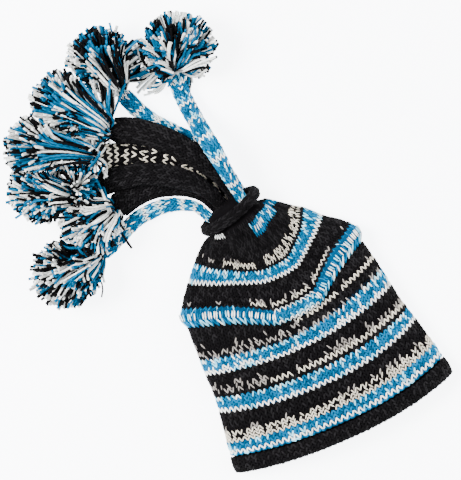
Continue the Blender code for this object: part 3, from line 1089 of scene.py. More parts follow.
@dataclass
class Crown:
    """The striped shell: a flat, open bag with a rolled welt round it and a gathered neck."""

    tie: Tie
    wales: int = 80
    knit_wall: float = 4.0
    ground_inset: float = 1.9
    stitch_inset: float = 1.25
    side_z: float = 10.0           # height of the fold at the hat's two sides
    welt_course: float = 35.0
    welt_courses: float = 2.6      # on each side of the welt's crest
    welt_rise: float = 8.0
    welt_spread: float = 4.0
    pleats: int = 10
    pleat_depth: float = 0.17      # of the neck's half size
    crease_depth: float = 6.0      # the fold that runs down from the neck
    crease_width: float = 7.0
    crease_start: tuple[float, float] = (39.0, 46.0)     # courses over which the fold deepens
    crease_stop: tuple[float, float] = (51.0, 55.0)      # and over which it is gone again
    gather: tuple[float, float] = (44.0, 54.0)           # courses over which the pleats deepen
    mouth: float = 4.1
    neck_end: float = 55.0
    bow_power: float = 2.2
    top_power: float = 0.8         # below 1 for a full top with steep sides
    back_power: float = 1.5
    side_power: int = 6            # how square the underside's edges are
    lie_flat: float = 1.05         # above 1 where the underside rests on the floor
    ring_points: int = 480
    net_rings: int = 409
    fabric_points: int = 160
    # Runs of the fabric's rings, each by its first and last course and the number of its rings:
    # inside from where the hollow closes to the mouth, then outside, closer across the welt.
    inner_runs: tuple[tuple[float, float, int], ...] = ((51.0, 40.0, 10), (38.0, 4.1, 20))
    outer_runs: tuple[tuple[float, float, int], ...] = (
        (4.1, 32.0, 44), (32.3, 37.7, 14), (38.2, 55.0, 30))
    neck_insets: tuple[float, float] = (0.6, 1.0)     # inside the tie, behind it and before it
    plug: tuple[float, float] = (9.0, 5.5)            # a last ring's way forward and its inset
    split_course: float = 25.0     # between the two pieces that the stitches are made in
    seeds: tuple[int, int] = (31, 32)

    def course_at(self, number: float) -> Course:
        """Reads the table of courses at any number."""
        stations = np.array([row.number for row in COURSES])
        return Course(*(eased(stations, np.array(column), number) for column in zip(*COURSES)))

    def bow(self, row: Course, across: np.ndarray) -> np.ndarray:
        """Says how far the top of a course has come back to the neck.

        Args:
            row: the course.
            across: places from -1 at its left side to 1 at its right side.

        Returns:
            A share from 0 in its middle to 1 at its sides.
        """
        middle = (2 * row.mid_x - row.left_x - row.right_x) / (row.right_x - row.left_x)
        reach = np.abs(across - middle) / np.where(across < middle, 1 + middle, 1 - middle)
        even = reach ** self.bow_power
        return even + row.tuck * (np.interp(reach, TUCK_REACH, TUCK_RISE) - even)

    def ring(self, number: float, out: float, angles: np.ndarray) -> np.ndarray:
        """Gives one course as it lies.

        Args:
            number: the course.
            out: how far the ring lies out of the fabric's surface, in mm.
            angles: the places round it, 0 at the right side and 90 degrees on top.

        Returns:
            The ring's points in mm.
        """
        row = self.course_at(number)
        across, up = np.cos(angles), np.sin(angles)
        welt = math.sqrt(max(0.0, 1 - ((number - self.welt_course) / self.welt_courses) ** 2))
        folded = self.pleat_depth * smoothstep(*self.gather, number)
        pleat = 1 - folded * (0.5 - 0.5 * np.cos(self.pleats * angles))
        half = (0.5 * (row.right_x - row.left_x) + self.welt_spread * welt) * pleat + out
        x = 0.5 * (row.left_x + row.right_x) + half * across
        side_y = row.left_y + (row.right_y - row.left_y) * 0.5 * (1 + across)
        side_z = self.side_z + row.floor_z
        dip = row.left_y + (row.right_y - row.left_y) * 0.5 - row.mid_y
        top_y = side_y - dip * (1 - self.bow(row, across))
        top = row.top_z + self.welt_rise * welt + out
        depth = self.crease_depth * smoothstep(*self.crease_start, number)
        depth *= 1 - smoothstep(*self.crease_stop, number)
        crease = depth * np.exp(-((x - row.mid_x) / self.crease_width) ** 2)
        rise = np.maximum(up, 0.0) ** self.top_power
        top_z = side_z + (top - side_z) * rise * (0.5 + 0.5 * pleat) - crease
        low_y = side_y - (side_y - row.back_y) * np.maximum(-up, 0.0) ** self.back_power
        low = row.floor_z - min(out, 0.0)
        square = (1 - np.abs(across) ** self.side_power) ** (1 / self.side_power)
        flat = 1 - square * self.lie_flat
        low_z = low + (side_z - low) * np.maximum(flat, 0.0)
        above = up >= 0
        return np.column_stack([x, np.where(above, top_y, low_y), np.where(above, top_z, low_z)])

    def turned_angles(self, count: int) -> np.ndarray:
        """Gives angles all the way round, from the middle of the top."""
        return math.pi / 2 + np.linspace(0.0, 2 * math.pi, count, endpoint=False)

    def fabric(self) -> bpy.types.Object:
        """Makes the ground of the knitting, with the inside wall that shows in the mouth, both
        coloured in painted shade.

        Returns:
            The ground's object.
        """
        angles = self.turned_angles(self.fabric_points)
        walls = ((self.inner_runs, self.knit_wall), (self.outer_runs, self.ground_inset))
        rings, painted_shades = [], []
        for runs, inset in walls:
            for number in np.concatenate([np.linspace(*run) for run in runs]):
                rings.append(self.ring(number, -inset, angles))
                painted_shades.append(painted_shade_at(number))
        behind, before = self.neck_insets
        # The neck's rings and the plug that closes it are in the darkest painted shade.
        for forward, inset in ((-self.tie.radius, behind), (self.tie.radius, before), self.plug):
            rings.append(self.tie.neck_ring(angles, forward, inset))
            painted_shades.append(PaintedShade.DARK)
        return loft("crown_fabric", rings, painted_shades)

    def build(self, room: Workroom) -> list[bpy.types.Object]:
        """Makes the ground, and the stitches in two pieces.

        Args:
            room: the trees and the yarn.

        Returns:
            The three pieces.
        """
        fabric = self.fabric()
        fabric.data.materials.append(room.yarn)
        stations = np.linspace(self.mouth, self.neck_end, self.net_rings)
        angles = self.turned_angles(self.ring_points)
        rings = [self.ring(number, -self.stitch_inset, angles) for number in stations]
        net = KnitNet(stations, rings, self.wales)
        pieces = [fabric]
        for name, low, high, seed in (
                ("crown_lower_knit", 0.0, self.split_course, self.seeds[0]),
                ("crown_upper_knit", self.split_course, math.inf, self.seeds[1])):
            stitches = Stitches(net, np.random.default_rng(seed))
            for band in CROWN_BANDS:
                if low <= band.start < high:
                    stitches.add_band(band)
            bare = add_mesh(name, bmesh.new())
            pieces.append(room.knit_over(bare, stitches.places(name + "_places")))
        for piece in pieces:
            dress(piece, "crown")
        return pieces


@dataclass
class Brim:
    """The thick black band round the mouth, with a rounded lip."""

    crown: Crown
    top: float = 4.0
    swell: float = 1.6
    wall: float = 7.0
    gap: float = 0.4
    ground_inset: float = 1.5
    stitch_inset: float = 1.1
    ring_points: int = 160
    row_pitch: float = 4.1
    middle_course: float = 2.2       # of the section, with its shift from half the wall
    middle_shift: float = 0.4
    course_height: float = 4.5       # mm
    net_rings: int = 60
    seed: int = 41

    def section(self) -> tuple[tuple[float, float], ...]:
        """Gives the band's section.

        Returns:
            Pairs of a course and a distance out of the crown in mm.
        """
        return ((self.top, -0.2), (3.4, 0.9), (2.0, self.swell), (0.7, 1.0), (0.1, -0.6),
                (0.0, -3.2), (0.4, 1.4 - self.wall), (2.0, self.swell - self.wall),
                (self.top, 1.8 - self.wall))

    def rings(self, inset: float, count: int) -> list[np.ndarray]:
        """Gives a ring for each point of the section, drawn in from the band's surface.

        Args:
            inset: how far the rings are drawn in, in mm.
            count: how many points each ring has.

        Returns:
            Each ring's points in mm.
        """
        places = np.array(self.section())
        middle = np.array([self.middle_course,
                           0.5 * (self.swell - self.wall) + self.middle_shift])
        scale = (self.course_height, 1.0)
        away = (places - middle) * scale
        reach = np.linalg.norm(away, axis=1, keepdims=True)
        drawn = middle + away * (1 - inset / reach) / scale
        angles = self.crown.turned_angles(count)
        rings = []
        for course, out in drawn:
            ring = self.crown.ring(course, out, angles) - (0.0, self.gap, 0.0)
            ring[:, 2] = np.maximum(ring[:, 2], inset)
            rings.append(ring)
        return rings

    def build(self, room: Workroom) -> bpy.types.Object:
        """Makes the band: its ground and its stitches in one mesh.

        Args:
            room: the trees and the yarn.

        Returns:
            The piece.
        """
        rings = self.rings(self.ground_inset, self.ring_points)
        # The band's fabric under its stitches is in the darkest painted shade.
        fabric = loft("brim_knit", rings, [PaintedShade.DARK] * len(rings), joined_ends=True)
        lines = np.array(self.rings(self.stitch_inset, self.crown.ring_points)[::-1])
        steps = [np.linalg.norm(b - a, axis=1).mean() for a, b in zip(lines, lines[1:])]
        stations = np.concatenate([[0.0], np.cumsum(steps)])
        fine = np.linspace(0.0, stations[-1], self.net_rings)
        smooth = [np.array([[np.interp(s, stations, lines[:, i, axis]) for axis in range(3)]
                            for i in range(0, self.crown.ring_points, 2)]) for s in fine]
        net = KnitNet(fine, smooth, self.crown.wales)
        piece = knit_piece(room, fabric, net, "K", self.row_pitch, self.seed)
        dress(piece, "brim_band")
        return piece


@dataclass
class Tube:
    """One knitted tube from the neck to its pompom, as a limp cord of its real length."""

    node: str
    finish: str
    radius: float
    chart: str
    points: tuple[tuple[float, float, float], ...]
    seed: int
    # The fabric between the tube's stitches, in painted shade darker than its yarn.
    ground: PaintedShade = PaintedShade.DARK
    row_pitch: float = 4.0
    wale_width: float = 5.9
    neck_pinch: float = 0.68       # share of the full radius where the tube leaves the neck
    pinch_length: float = 62.0
    flat: float = 1.0              # how much wider than tall the tube lies at its pompom
    gathered: float = 0.55         # share of the radius at the knot
    gather_length: float = 9.0
    ground_inset: float = 1.7
    stitch_inset: float = 1.2
    line_points: int = 90
    section_points: int = 18
    root: float = 9.0              # how far the tube reaches back into the neck
    flat_power: float = 1.8        # above 1 where it widens late
    slenderness: float = 6.1       # the least length of a cord, in diameters

    def line(self) -> tuple[np.ndarray, np.ndarray, np.ndarray]:
        """Gives the middle line from the neck to the knot.

        Returns:
            Its points in mm, the place of each along it, and the tube's radius at each.
        """
        through = np.array(self.points, float)
        along = run_along(through)
        stations = np.linspace(0.0, along[-1], self.line_points)
        line = np.array([[eased(along, column, at) for column in through.T] for at in stations])
        radii = np.array([self.radius * (self.neck_pinch + (1 - self.neck_pinch)
                                         * smoothstep(0.0, self.pinch_length, at))
                          * (self.gathered + (1 - self.gathered)
                             * smoothstep(0.0, self.gather_length, along[-1] - at))
                          for at in stations])
        return line, stations, radii

    def rooted(self) -> tuple[np.ndarray, np.ndarray, np.ndarray]:
        """Gives the middle line with the stretch that is hidden in the neck before it.

        Returns:
            Its points in mm, the place of each along it, and the tube's radius at each.
        """
        line, stations, radii = self.line()
        back = (line[0] - line[1]) / np.linalg.norm(line[0] - line[1])
        return (np.vstack([line[0] + back * self.root, line]),
                np.concatenate([[0.0], stations + self.root]),
                np.concatenate([radii[:1], radii]))

    def rings(self, inset: float, count: int) -> list[np.ndarray]:
        """Gives rings of points round the middle line, untwisted from end to end.

        Args:
            inset: how far the rings lie inside the tube's surface, in mm.
            count: how many points each ring has.

        Returns:
            Each ring's points in mm.
        """
        line, _, radii = self.rooted()
        ways = np.gradient(line, axis=0)
        ways /= np.linalg.norm(ways, axis=1, keepdims=True)
        side = np.cross(ways[0], (0.0, 0.0, 1.0))
        turns = np.linspace(0.0, 2 * math.pi, count, endpoint=False)
        rings = []
        flats = 1 + (self.flat - 1) * np.linspace(0.0, 1.0, len(line)) ** self.flat_power
        for middle, way, radius, flat in zip(line, ways, radii, flats):
            side = side - way * np.dot(side, way)
            side /= np.linalg.norm(side)
            top = np.cross(side, way)
            rings.append(middle + (radius - inset) * (np.outer(np.sin(turns), side) * flat
                                                      + np.outer(np.cos(turns), top)))
        return rings

    def build(self, room: Workroom) -> bpy.types.Object:
        """Makes the tube: its ground and its stitches in one mesh.

        Args:
            room: the trees and the yarn.

        Returns:
            The piece.
        """
        rings = self.rings(self.ground_inset, self.section_points)
        fabric = loft(self.node + "_knit", rings, [self.ground] * len(rings))
        _, stations, _ = self.rooted()
        wales = round(2 * math.pi * self.radius / self.wale_width)
        lines = [ring[::-1] for ring in self.rings(self.stitch_inset, KnitNet.PER_WALE * wales)]
        net = KnitNet(stations, lines, wales)
        piece = knit_piece(room, fabric, net, self.chart, self.row_pitch, self.seed)
        dress(piece, self.node)
        return piece

    def declare(self, piece: bpy.types.Object, pompom: bpy.types.Object) -> None:
        """Does nothing with the tube or its pompom.

        Args:
            piece: the tube's piece; not used.
            pompom: its pompom's piece; not used.
        """


# Each tube's finish, radius and chart, then the points that its middle line runs through in mm.
TUBES = (
    Tube("tube_cyan_upper", "cyan_yarn", 9.5, "WPCCwCWCPCCwC", (
        (9.5, 251, 37.5), (8, 274, 46), (7, 298, 48), (5.5, 320, 39), (4.5, 340, 21),
        (4, 360, 10.5), (5, 379, 11), (10, 398, 22)), 51, PaintedShade.BLUE),
    Tube("tube_cyan_rear", "cyan_yarn", 9.0, "CWCPCCwWPCC", (
        (12, 262, 8), (9.5, 280, 9.3), (4, 302, 9.3), (-9, 325, 9.3), (-25, 346, 9.3),
        (-38, 366, 9.3), (-46, 386, 12), (-51, 404, 20)), 52, PaintedShade.BLUE),
    Tube("tube_black_upper", "black_yarn", 12.0, "K", (
        (5.5, 254.7, 22.5), (2.5, 274, 29), (-4.5, 294, 31), (-16, 314, 31), (-30, 334, 30.5),
        (-46, 351, 27), (-62, 363, 19), (-80, 371, 21)), 53, flat=1.25),
    Tube("tube_heather", "heather_yarn", 10.5, "KhMKhMMhKMMhKMMMKhMKMhKMKMhKMKMhKMKM", (
        (-2, 259, 8), (-6, 274, 10), (-13, 289, 10.8), (-25, 304, 10.8), (-40, 318, 10.8),
        (-60, 332, 10.8), (-80, 344, 12), (-102, 353, 20)), 54, flat=1.40),
    Tube("tube_black_lower", "black_yarn", 11.0, "K", (
        (-10.5, 251, 22.5), (-17, 270, 28.5), (-27, 285.5, 30.5), (-43, 300.5, 30.5),
        (-62, 313, 29), (-86, 322, 23), (-112, 327, 13), (-144, 328, 20)), 55, flat=1.36),
    Tube("tube_black_under", "black_yarn", 11.0, "K", (
        (-17.5, 256, 8), (-23, 270, 10), (-35, 284, 11.3), (-52, 295, 11.3), (-72, 301, 11.3),
        (-92, 301, 12.5), (-112, 297, 19)), 56, flat=1.34),
    Tube("tube_cyan_lower", "cyan_yarn", 8.5, "PCCwCWPCCW", (
        (-30, 251, 22), (-35, 262, 15), (-46, 270, 9), (-61, 277, 8.8), (-79, 279, 8.8),
        (-97, 278, 8.8), (-114, 272, 8.8), (-131, 266, 9.5), (-147, 262, 17)), 57, PaintedShade.BLUE),
)


class Ball(NamedTuple):
    """One pompom's ball, on the end of its tube."""

    tube: str
    centre: tuple[float, float, float]       # mm
    radius: float
    combed: float       # share of its bundles that lie along its surface
    bundle: int         # strands of like colour side by side


BALLS = {
    "pompom_1": Ball("tube_cyan_upper", (22, 413, 35), 39.0, 0.50, 3),
    "pompom_2": Ball("tube_cyan_rear", (-54, 438, 34), 36.5, 0.40, 3),
    "pompom_3": Ball("tube_black_upper", (-107, 413, 37), 38.0, 0.28, 3),
    "pompom_4": Ball("tube_heather", (-150, 386, 36), 37.0, 0.20, 2),
    "pompom_5": Ball("tube_black_lower", (-168, 348, 33), 35.0, 0.18, 2),
    "pompom_6": Ball("tube_black_under", (-139, 293, 33), 34.0, 0.25, 2),
    "pompom_7": Ball("tube_cyan_lower", (-183.5, 261, 34), 37.0, 0.18, 2),
}


class Tuft(NamedTuple):
    """Strands that stand or hang away from their pompom, by the four points that bend them."""

    strands: tuple[Strand, ...]
    points: tuple[tuple[float, float, float], ...]
    count: int = 1
    spread: float = 0.0       # mm at the free ends, for a tuft of several strands


MIXED = (Strand.WHITE, Strand.CYAN, Strand.BLACK)
LIGHT = (Strand.WHITE, Strand.CYAN)

# Each pompom's tufts fan out beside and over its tube, or hang down over its neighbours.
TUFTS = {
    "pompom_1": (
        Tuft((Strand.BLACK,), ((13, 398, 40), (32, 389, 46), (48, 389, 42), (60, 399, 32))),
        Tuft((Strand.BLACK,), ((15, 397, 34), (29, 387, 38), (40, 387, 34), (53, 388, 26))),
        Tuft(MIXED, ((7, 403, 30), (2, 415, 44), (-4, 427, 40), (-10, 434, 30)), 10, 3.0),
        Tuft((Strand.BLACK, Strand.WHITE),
             ((4, 402, 24), (-15, 400, 20), (-20, 415, 24), (-12, 431, 30)), 16, 3.0),
        Tuft((Strand.WHITE, Strand.WHITE, Strand.CYAN),
             ((5, 399, 18), (-4, 404, 14), (-15, 405, 10), (-24, 401, 8)), 36, 5.5),
        Tuft(LIGHT, ((2, 397, 10), (-8, 388, 8), (-16, 387, 7), (-23, 393, 7)), 14, 3.5),
        Tuft((Strand.CYAN, Strand.BLACK),
             ((15, 397, 22), (20, 383, 20), (30, 380, 18), (37, 386, 16)), 16, 3.5),
        Tuft(MIXED, ((19, 395, 14), (21, 387, 10), (18, 379, 8), (14, 374, 6)), 8, 2.5),
    ),
    "pompom_2": (
        Tuft(LIGHT, ((-52, 415, 22), (-41, 425, 40), (-27, 434, 40), (-11, 437, 30)), 18, 4.5),
        Tuft(MIXED, ((-50, 414, 22), (-37, 419, 36), (-25, 424, 34), (-14, 426, 24)), 20, 5.0),
        Tuft(MIXED, ((-50, 413, 18), (-41, 412, 22), (-31, 410, 18), (-22, 413, 12)), 30, 5.0),
    ),
    "pompom_3": (
        Tuft(MIXED, ((-79, 374, 30), (-70, 388, 48), (-64, 404, 50), (-56, 422, 46)), 36, 6.5),
        Tuft((Strand.WHITE, Strand.BLACK),
             ((-77, 376, 28), (-67, 382, 40), (-63, 393, 44), (-60, 405, 40)), 20, 5.0),
        Tuft(MIXED, ((-84, 369, 20), (-86, 364, 34), (-88, 361, 42), (-89, 360, 48)), 18, 5.0),
    ),
    "pompom_4": (
        Tuft(MIXED, ((-102, 356, 22), (-96, 362, 36), (-89, 368, 36), (-82, 373, 28)), 22, 5.5),
        Tuft(MIXED, ((-103, 352, 24), (-113, 349, 38), (-124, 346, 38), (-134, 344, 28)), 34, 6.0),
        Tuft((Strand.WHITE,),
             ((-105, 353, 32), (-94, 348, 40), (-94, 339, 32), (-104, 328, 26)), 3, 2.0),
        Tuft(MIXED, ((-104, 352, 22), (-105, 347, 34), (-106, 343, 44), (-106, 342, 50)), 22, 6.0),
    ),
    "pompom_5": (
        Tuft(MIXED, ((-141, 329, 22), (-130, 334, 34), (-121, 339, 34), (-113, 341, 26)), 26, 5.5),
        Tuft(MIXED, ((-141, 331, 22), (-132, 340, 34), (-124, 347, 34), (-117, 352, 26)), 22, 5.5),
        Tuft(MIXED, ((-139, 331, 20), (-131, 337, 34), (-125, 339, 46), (-124, 340, 58)), 64, 10.0),
        Tuft((Strand.CYAN,), ((-119, 328, 36), (-110, 335, 42), (-104, 339, 40), (-98, 342, 34))),
    ),
    "pompom_6": (
        Tuft(MIXED, ((-113, 300, 22), (-115, 310, 36), (-117, 320, 34), (-120, 329, 26)), 26, 6.0),
        Tuft((Strand.WHITE,),
             ((-112, 320, 42), (-112, 309, 44), (-118, 287, 34), (-114, 269, 22)), 4, 2.5),
        Tuft((Strand.WHITE,), ((-113, 314, 42), (-113, 301, 42), (-114, 284, 32), (-117, 272, 20))),
        Tuft((Strand.BLACK,),
             ((-115, 277, 22), (-114, 270, 21), (-113, 263, 18), (-112, 257, 12)), 2, 1.0),
        Tuft((Strand.CYAN,),
             ((-126, 299, 34), (-123, 287, 32), (-125, 274, 22), (-131, 263, 14)), 2, 1.5),
    ),
    "pompom_7": (
        Tuft(MIXED, ((-151, 261, 26), (-160, 261, 44), (-167, 261, 52), (-169, 261, 57)), 44, 8.0),
        Tuft((Strand.BLACK,), ((-164, 251, 46), (-152, 249, 50), (-151, 234, 38), (-162, 224, 24))),
    ),
}

# The share of each yarn in a pompom's ball.
POMPOM_YARNS = ((Strand.WHITE, 0.33), (Strand.CYAN, 0.30), (Strand.BLACK, 0.37))


@dataclass
class Pompom:
    """A pompom of cut yarn that fans out from the knot at the end of its tube."""

    node: str
    seed: int
    strand_count: int = 828
    bundle_angle: float = 0.070      # radians, as seen from the ball's middle
    strand_radius: float = 1.22
    spread: float = 0.42             # how far the strands bulge beside the knot
    like_colour: float = 0.72        # chance that a strand has its bundle's colour
    open_angle: float = 0.34         # radians on each side of the tube where nothing stands up
    droop_angle: float = 1.30        # radians within which the strands lie low beside the tube
    strays: int = 14                 # about how many strands stick out of the ball
    core_share: float = 0.45
    nose_angle: float = 0.78         # radians over which the ball is drawn out to its knot
    knot_radius: float = 4.5
    knot_scatter: float = 1.0        # mm
    rise: float = 34.0               # how far the upper strands go up from the knot
    rise_height: float = 38.0        # of a strand's end over the knot, where the rise is full
    loose_rise: float = 0.3          # share of the rise for a strand that isn't combed
    leave_share: float = 0.12        # of a strand's run, from its rise to its first bend
    arrive_share: float = 0.45       # of its run, from its second bend to its end
    straight: float = 0.75           # how much of a strand's end follows its run
    combed_out: float = 0.25         # and how much of it stands out of the ball
    loose_out: float = 1.6
    droop_low: float = -0.35         # the slope of the strands nearest to the tube
    droop_rise: float = 1.2          # and what they gain on it away from the tube
    upright: float = 0.05            # a way that goes less to the side than this goes straight up
    bundle_scatter: float = 0.07     # as a share of the ball's radius
    bundle_sway: float = 3.8         # mm
    strand_sway: float = 0.8         # mm
    combed_reach: tuple[float, float] = (0.70, 1.01)     # shares of the way to the ball's surface
    loose_reach: tuple[float, float] = (0.86, 1.01)
    strand_reach: tuple[float, float] = (0.94, 1.02)     # of the bundle's reach
    stray_reach: tuple[float, float] = (1.03, 1.09)
    tuft_reach: tuple[float, float] = (0.86, 1.04)       # of the tuft's own length
    shades: tuple[float, float] = (0.46, 1.02)           # of a strand's own colour, at random: partly its own tone, partly painted shade between the strands
    girths: tuple[float, float] = (0.85, 1.15)
    gap: float = 0.4
    least_height: float = 1.6

    def __post_init__(self) -> None:
        """Reads the ball, the knot and the ways to the knot and to the tube."""
        self.ball = BALLS[self.node]
        tube = next(tube for tube in TUBES if tube.node == self.ball.tube)
        self.knot = Vector(tube.points[-1])
        self.centre = Vector(self.ball.centre)
        self.towards = self.knot - self.centre
        behind = Vector(tube.points[-2]) - self.knot
        self.tube_way = Vector((behind.x, behind.y, 0.0)).normalized()
        self.dice = np.random.default_rng(self.seed)

    def reach(self, way: Vector) -> float:
        """Gives the distance from the ball's middle to its surface.

        Args:
            way: the way to measure it.

        Returns:
            The distance in mm.
        """
        drawn = max(self.towards.length - self.ball.radius, 0.0)
        nose = drawn * math.exp(-(way.angle(self.towards) / self.nose_angle) ** 2)
        return min(self.ball.radius + nose, self.room(way))

    def room(self, way: Vector) -> float:
        """Gives the most that the pompom may reach, for the floor and its neighbours.

        Args:
            way: the way to measure it.

        Returns:
            The distance in mm from the ball's middle.
        """
        height = self.centre.z - self.least_height
        limits = [height / -way.z if way.z < -SLIGHT else math.inf]
        for name, other in BALLS.items():
            if name == self.node:
                continue
            apart = Vector(other.centre) - self.centre
            share = (apart.length_squared + self.ball.radius ** 2 - other.radius ** 2) / 2
            facing = way.dot(apart)
            if facing > SLIGHT:
                limits.append((share - self.gap * apart.length) / facing)
        return min(limits)

    def core(self) -> bpy.types.Object:
        """Makes the dark middle: painted shade that stops the eye between the strands.

        Returns:
            The middle's object.
        """
        bm = bmesh.new()
        bmesh.ops.create_icosphere(bm, subdivisions=3, radius=1.0)
        tint = bm.verts.layers.float_color.new("yarn")
        for vert in bm.verts:
            way = vert.co.normalized()
            vert.co = (self.centre + way * self.reach(way) * self.core_share) * MM
            # The middle's near-black is painted shade deep inside the pompom.
            vert[tint] = linear(PaintedShade.BROWN.value)
        bmesh.ops.recalc_face_normals(bm, faces=bm.faces)
        return add_mesh(self.node + "_yarn", bm)

    def scatter(self, size: float) -> Vector:
        """Gives a small random step in mm."""
        return Vector(self.dice.normal(0.0, size, 3))

    def laid(self, way: Vector) -> Vector | None:
        """Lays a strand's way low where the tube is near.

        Args:
            way: the way from the ball's middle to the strand's end.

        Returns:
            The way that the strand takes, or None where the tube leaves no room for it.
        """
        flat = Vector((way.x, way.y, 0.0))
        off_tube = flat.angle(self.tube_way) if flat.length > self.upright else math.pi
        if off_tube < self.open_angle:
            return None
        if off_tube < self.droop_angle:
            low = smoothstep(self.open_angle, self.droop_angle, off_tube)
            way = Vector((way.x, way.y, min(way.z, self.droop_low + self.droop_rise * low)))
        return way.normalized()

    def above_floor(self, points: list[Vector]) -> list[Vector]:
        """Lifts the points of a strand that would lie in the floor.

        Args:
            points: the points in mm.

        Returns:
            The same points.
        """
        for point in points:
            point.z = max(point.z, self.least_height)
        return points

    def strand(self, way: Vector, long: float, sway: Vector, combed: bool) -> list[Vector]:
        """Gives the four points that bend one strand, from the knot out to its cut end.

        Args:
            way: the way from the ball's middle to the strand's end.
            long: the strand's reach as a share of the ball's.
            sway: how far the strand swings out of its plane, in mm.
            combed: True where it lies along the surface, False where it stands out of it.

        Returns:
            The start, the two points that bend it and the end, in mm.
        """
        start = self.knot + self.scatter(self.knot_scatter) + way * self.knot_radius
        end = self.centre + way * self.reach(way) * long
        upper = min(max((end.z - self.knot.z) / self.rise_height, 0.0), 1.0)
        rise = self.rise * upper * (1.0 if combed else self.loose_rise)
        over = self.knot + Vector((0.0, 0.0, rise))
        straight = (end - over).normalized()
        run = (end - over).length
        axis = -self.towards.normalized()
        beside = (end - self.knot) - axis * (end - self.knot).dot(axis)
        leave = over + straight * run * self.leave_share + beside * self.spread + sway
        turn_out = self.combed_out if combed else self.loose_out
        back = (straight * self.straight + way * turn_out).normalized()
        arrive = end - back * run * self.arrive_share + sway
        return self.above_floor([start, leave, arrive, end])

    def hang(self, tuft: Tuft) -> list[list[Vector]]:
        """Bends the strands of a tuft, and spreads them out towards its free end.

        Args:
            tuft: the tuft.

        Returns:
            The four points of each strand, in mm.
        """
        bends = []
        for _ in range(tuft.count):
            long = self.dice.uniform(*self.tuft_reach) if tuft.count > 1 else 1.0
            first = Vector(tuft.points[0])
            step = self.scatter(tuft.spread)
            bends.append(self.above_floor([
                first + (Vector(point) - first) * long + step * k / 3
                for k, point in enumerate(tuft.points)]))
        return bends

    def fan(self) -> tuple[list[list[Vector]], list[tuple[float, float, float, float]]]:
        """Bends the strands of the ball, in bundles that are spaced evenly round it.

        Returns:
            The four points of each strand in mm, and its colour.
        """
        palette = [linear(strand.value) for strand, _ in POMPOM_YARNS]
        chances = [share for _, share in POMPOM_YARNS]
        bends, colours = [], []
        golden = math.pi * (3 - math.sqrt(5))
        bundles = self.strand_count // self.ball.bundle
        for i in range(bundles):
            height = 1 - 2 * (i + 0.5) / bundles
            flat = math.sqrt(1 - height * height)
            middle = Vector((flat * math.cos(golden * i), flat * math.sin(golden * i), height))
            middle += self.scatter(self.bundle_scatter)
            main = self.dice.choice(len(palette), p=chances)
            combed = self.dice.random() < self.ball.combed
            sway = self.scatter(self.bundle_sway)
            long = self.dice.uniform(*(self.combed_reach if combed else self.loose_reach))
            for _ in range(self.ball.bundle):
                way = self.laid(middle + self.scatter(self.bundle_angle))
                pick = main
                if self.dice.random() >= self.like_colour:
                    pick = self.dice.choice(len(palette), p=chances)
                if way is None:
                    continue
                reach = long * self.dice.uniform(*self.strand_reach)
                if self.dice.random() < self.strays / self.strand_count:
                    reach = self.dice.uniform(*self.stray_reach)
                sideways = sway + self.scatter(self.strand_sway)
                bends.append(self.strand(way, reach, sideways, combed))
                colours.append(palette[pick])
        return bends, colours

    def build(self, room: Workroom) -> bpy.types.Object:
        """Makes the pompom: its core and its strands in one mesh.

        Args:
            room: the trees and the yarn.

        Returns:
            The piece.
        """
        bends, colours = self.fan()
        for tuft in TUFTS[self.node]:
            bends += self.hang(tuft)
            colours += [linear(tuft.strands[i % len(tuft.strands)].value)
                        for i in range(tuft.count)]
        count = len(bends)
        shades = self.dice.uniform(*self.shades, (count, 1))
        facts = {title: ("FLOAT_VECTOR", np.array([[*bend[k]] for bend in bends]) * MM)
                 for k, title in enumerate(STRAND_POINTS)}
        radii = self.strand_radius * self.dice.uniform(*self.girths, count)
        facts["lay_radius"] = ("FLOAT", radii * MM)
        facts["yarn"] = ("FLOAT_COLOR", np.array(colours) * shades)
        places = add_places(self.node + "_places", np.zeros((count, 3)), facts)
        piece = room.grow_over(self.core(), places)
        dress(piece, self.node)
        return piece


class Lamp(NamedTuple):
    """A soft square lamp that points at the hat."""

    name: str
    place: tuple[float, float, float]       # metres
    size: float
    power: float                            # watts


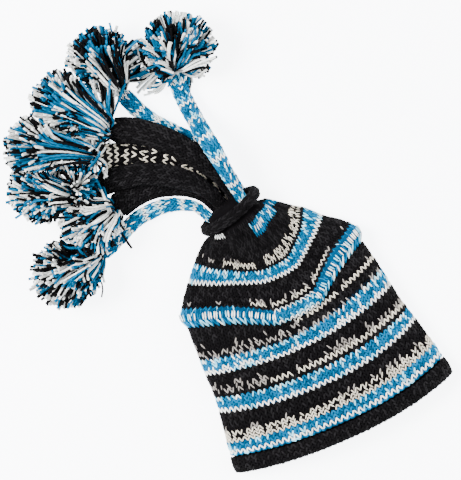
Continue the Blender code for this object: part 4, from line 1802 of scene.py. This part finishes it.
@dataclass
class Studio:
    """A camera straight above, soft light and a plain white floor."""

    middle: tuple[float, float] = (-19.2, 216.0)       # mm, under the camera
    roll: float = math.radians(-27.0)
    frame_height: float = 487.2                        # mm that the photo's long side covers
    subject_height: float = 25.0
    lens: float = 150.0
    sensor: float = 36.0
    far_end: float = 20.0                              # metres that the camera sees
    floor_half: float = 4.0                            # metres
    sky_colour: str = "#f4f8ff"
    sky_strength: float = 1.7
    lamps: tuple[Lamp, ...] = (Lamp("key", (-1.1, 0.9, 1.7), 0.9, 150.0),
                               Lamp("fill", (1.4, -0.4, 1.6), 1.6, 50.0))

    def build(self) -> None:
        """Makes the camera, the floor and the lights."""
        camera = bpy.data.cameras.new("camera")
        camera.lens = self.lens
        camera.sensor_width = self.sensor
        camera.clip_end = self.far_end
        eye = add_object("camera", camera)
        distance = self.frame_height / self.sensor * self.lens
        height = (distance + self.subject_height) * MM
        eye.location = (self.middle[0] * MM, self.middle[1] * MM, height)
        eye.rotation_euler = (0.0, 0.0, self.roll)
        bpy.context.scene.camera = eye
        self.lay_floor()
        for lamp in self.lamps:
            self.hang(lamp)
        world = bpy.data.worlds.new("studio")
        world.use_nodes = True
        sky = world.node_tree.nodes["Background"]
        sky.inputs["Color"].default_value = linear(self.sky_colour)
        sky.inputs["Strength"].default_value = self.sky_strength
        bpy.context.scene.world = world

    def lay_floor(self) -> None:
        """Makes the white floor."""
        bm = bmesh.new()
        bmesh.ops.create_grid(bm, x_segments=1, y_segments=1, size=self.floor_half)
        floor = add_mesh("floor", bm)
        floor.data.materials.append(PaperSweep("white_paper_sweep").build())

    def hang(self, lamp: Lamp) -> None:
        """Hangs a lamp.

        Args:
            lamp: the lamp.
        """
        light = bpy.data.lights.new(lamp.name, "AREA")
        light.size = lamp.size
        light.energy = lamp.power
        hung = add_object(lamp.name, light)
        hung.location = lamp.place
        aim = Vector((self.middle[0] * MM, self.middle[1] * MM, 0.0)) - hung.location
        hung.rotation_euler = aim.to_track_quat("-Z", "Y").to_euler()


def main() -> None:
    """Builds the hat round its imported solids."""
    logging.basicConfig(level=logging.INFO, format="%(message)s")
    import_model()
    Studio().build()
    room = Workroom(knit_tree(), strand_tree(), WoolBlend("wool_blend").build())
    tubes = {tube.node: tube.build(room) for tube in TUBES}
    for i, name in enumerate(BALLS):
        pompom = Pompom(name, 61 + i).build(room)
        tube = next(tube for tube in TUBES if tube.node == BALLS[name].tube)
        tube.declare(tubes[tube.node], pompom)
    tie = Tie()
    tie.build(room)
    crown = Crown(tie)
    crown.build(room)
    Brim(crown).build(room)
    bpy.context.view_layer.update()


if __name__ == "__main__":
    main()
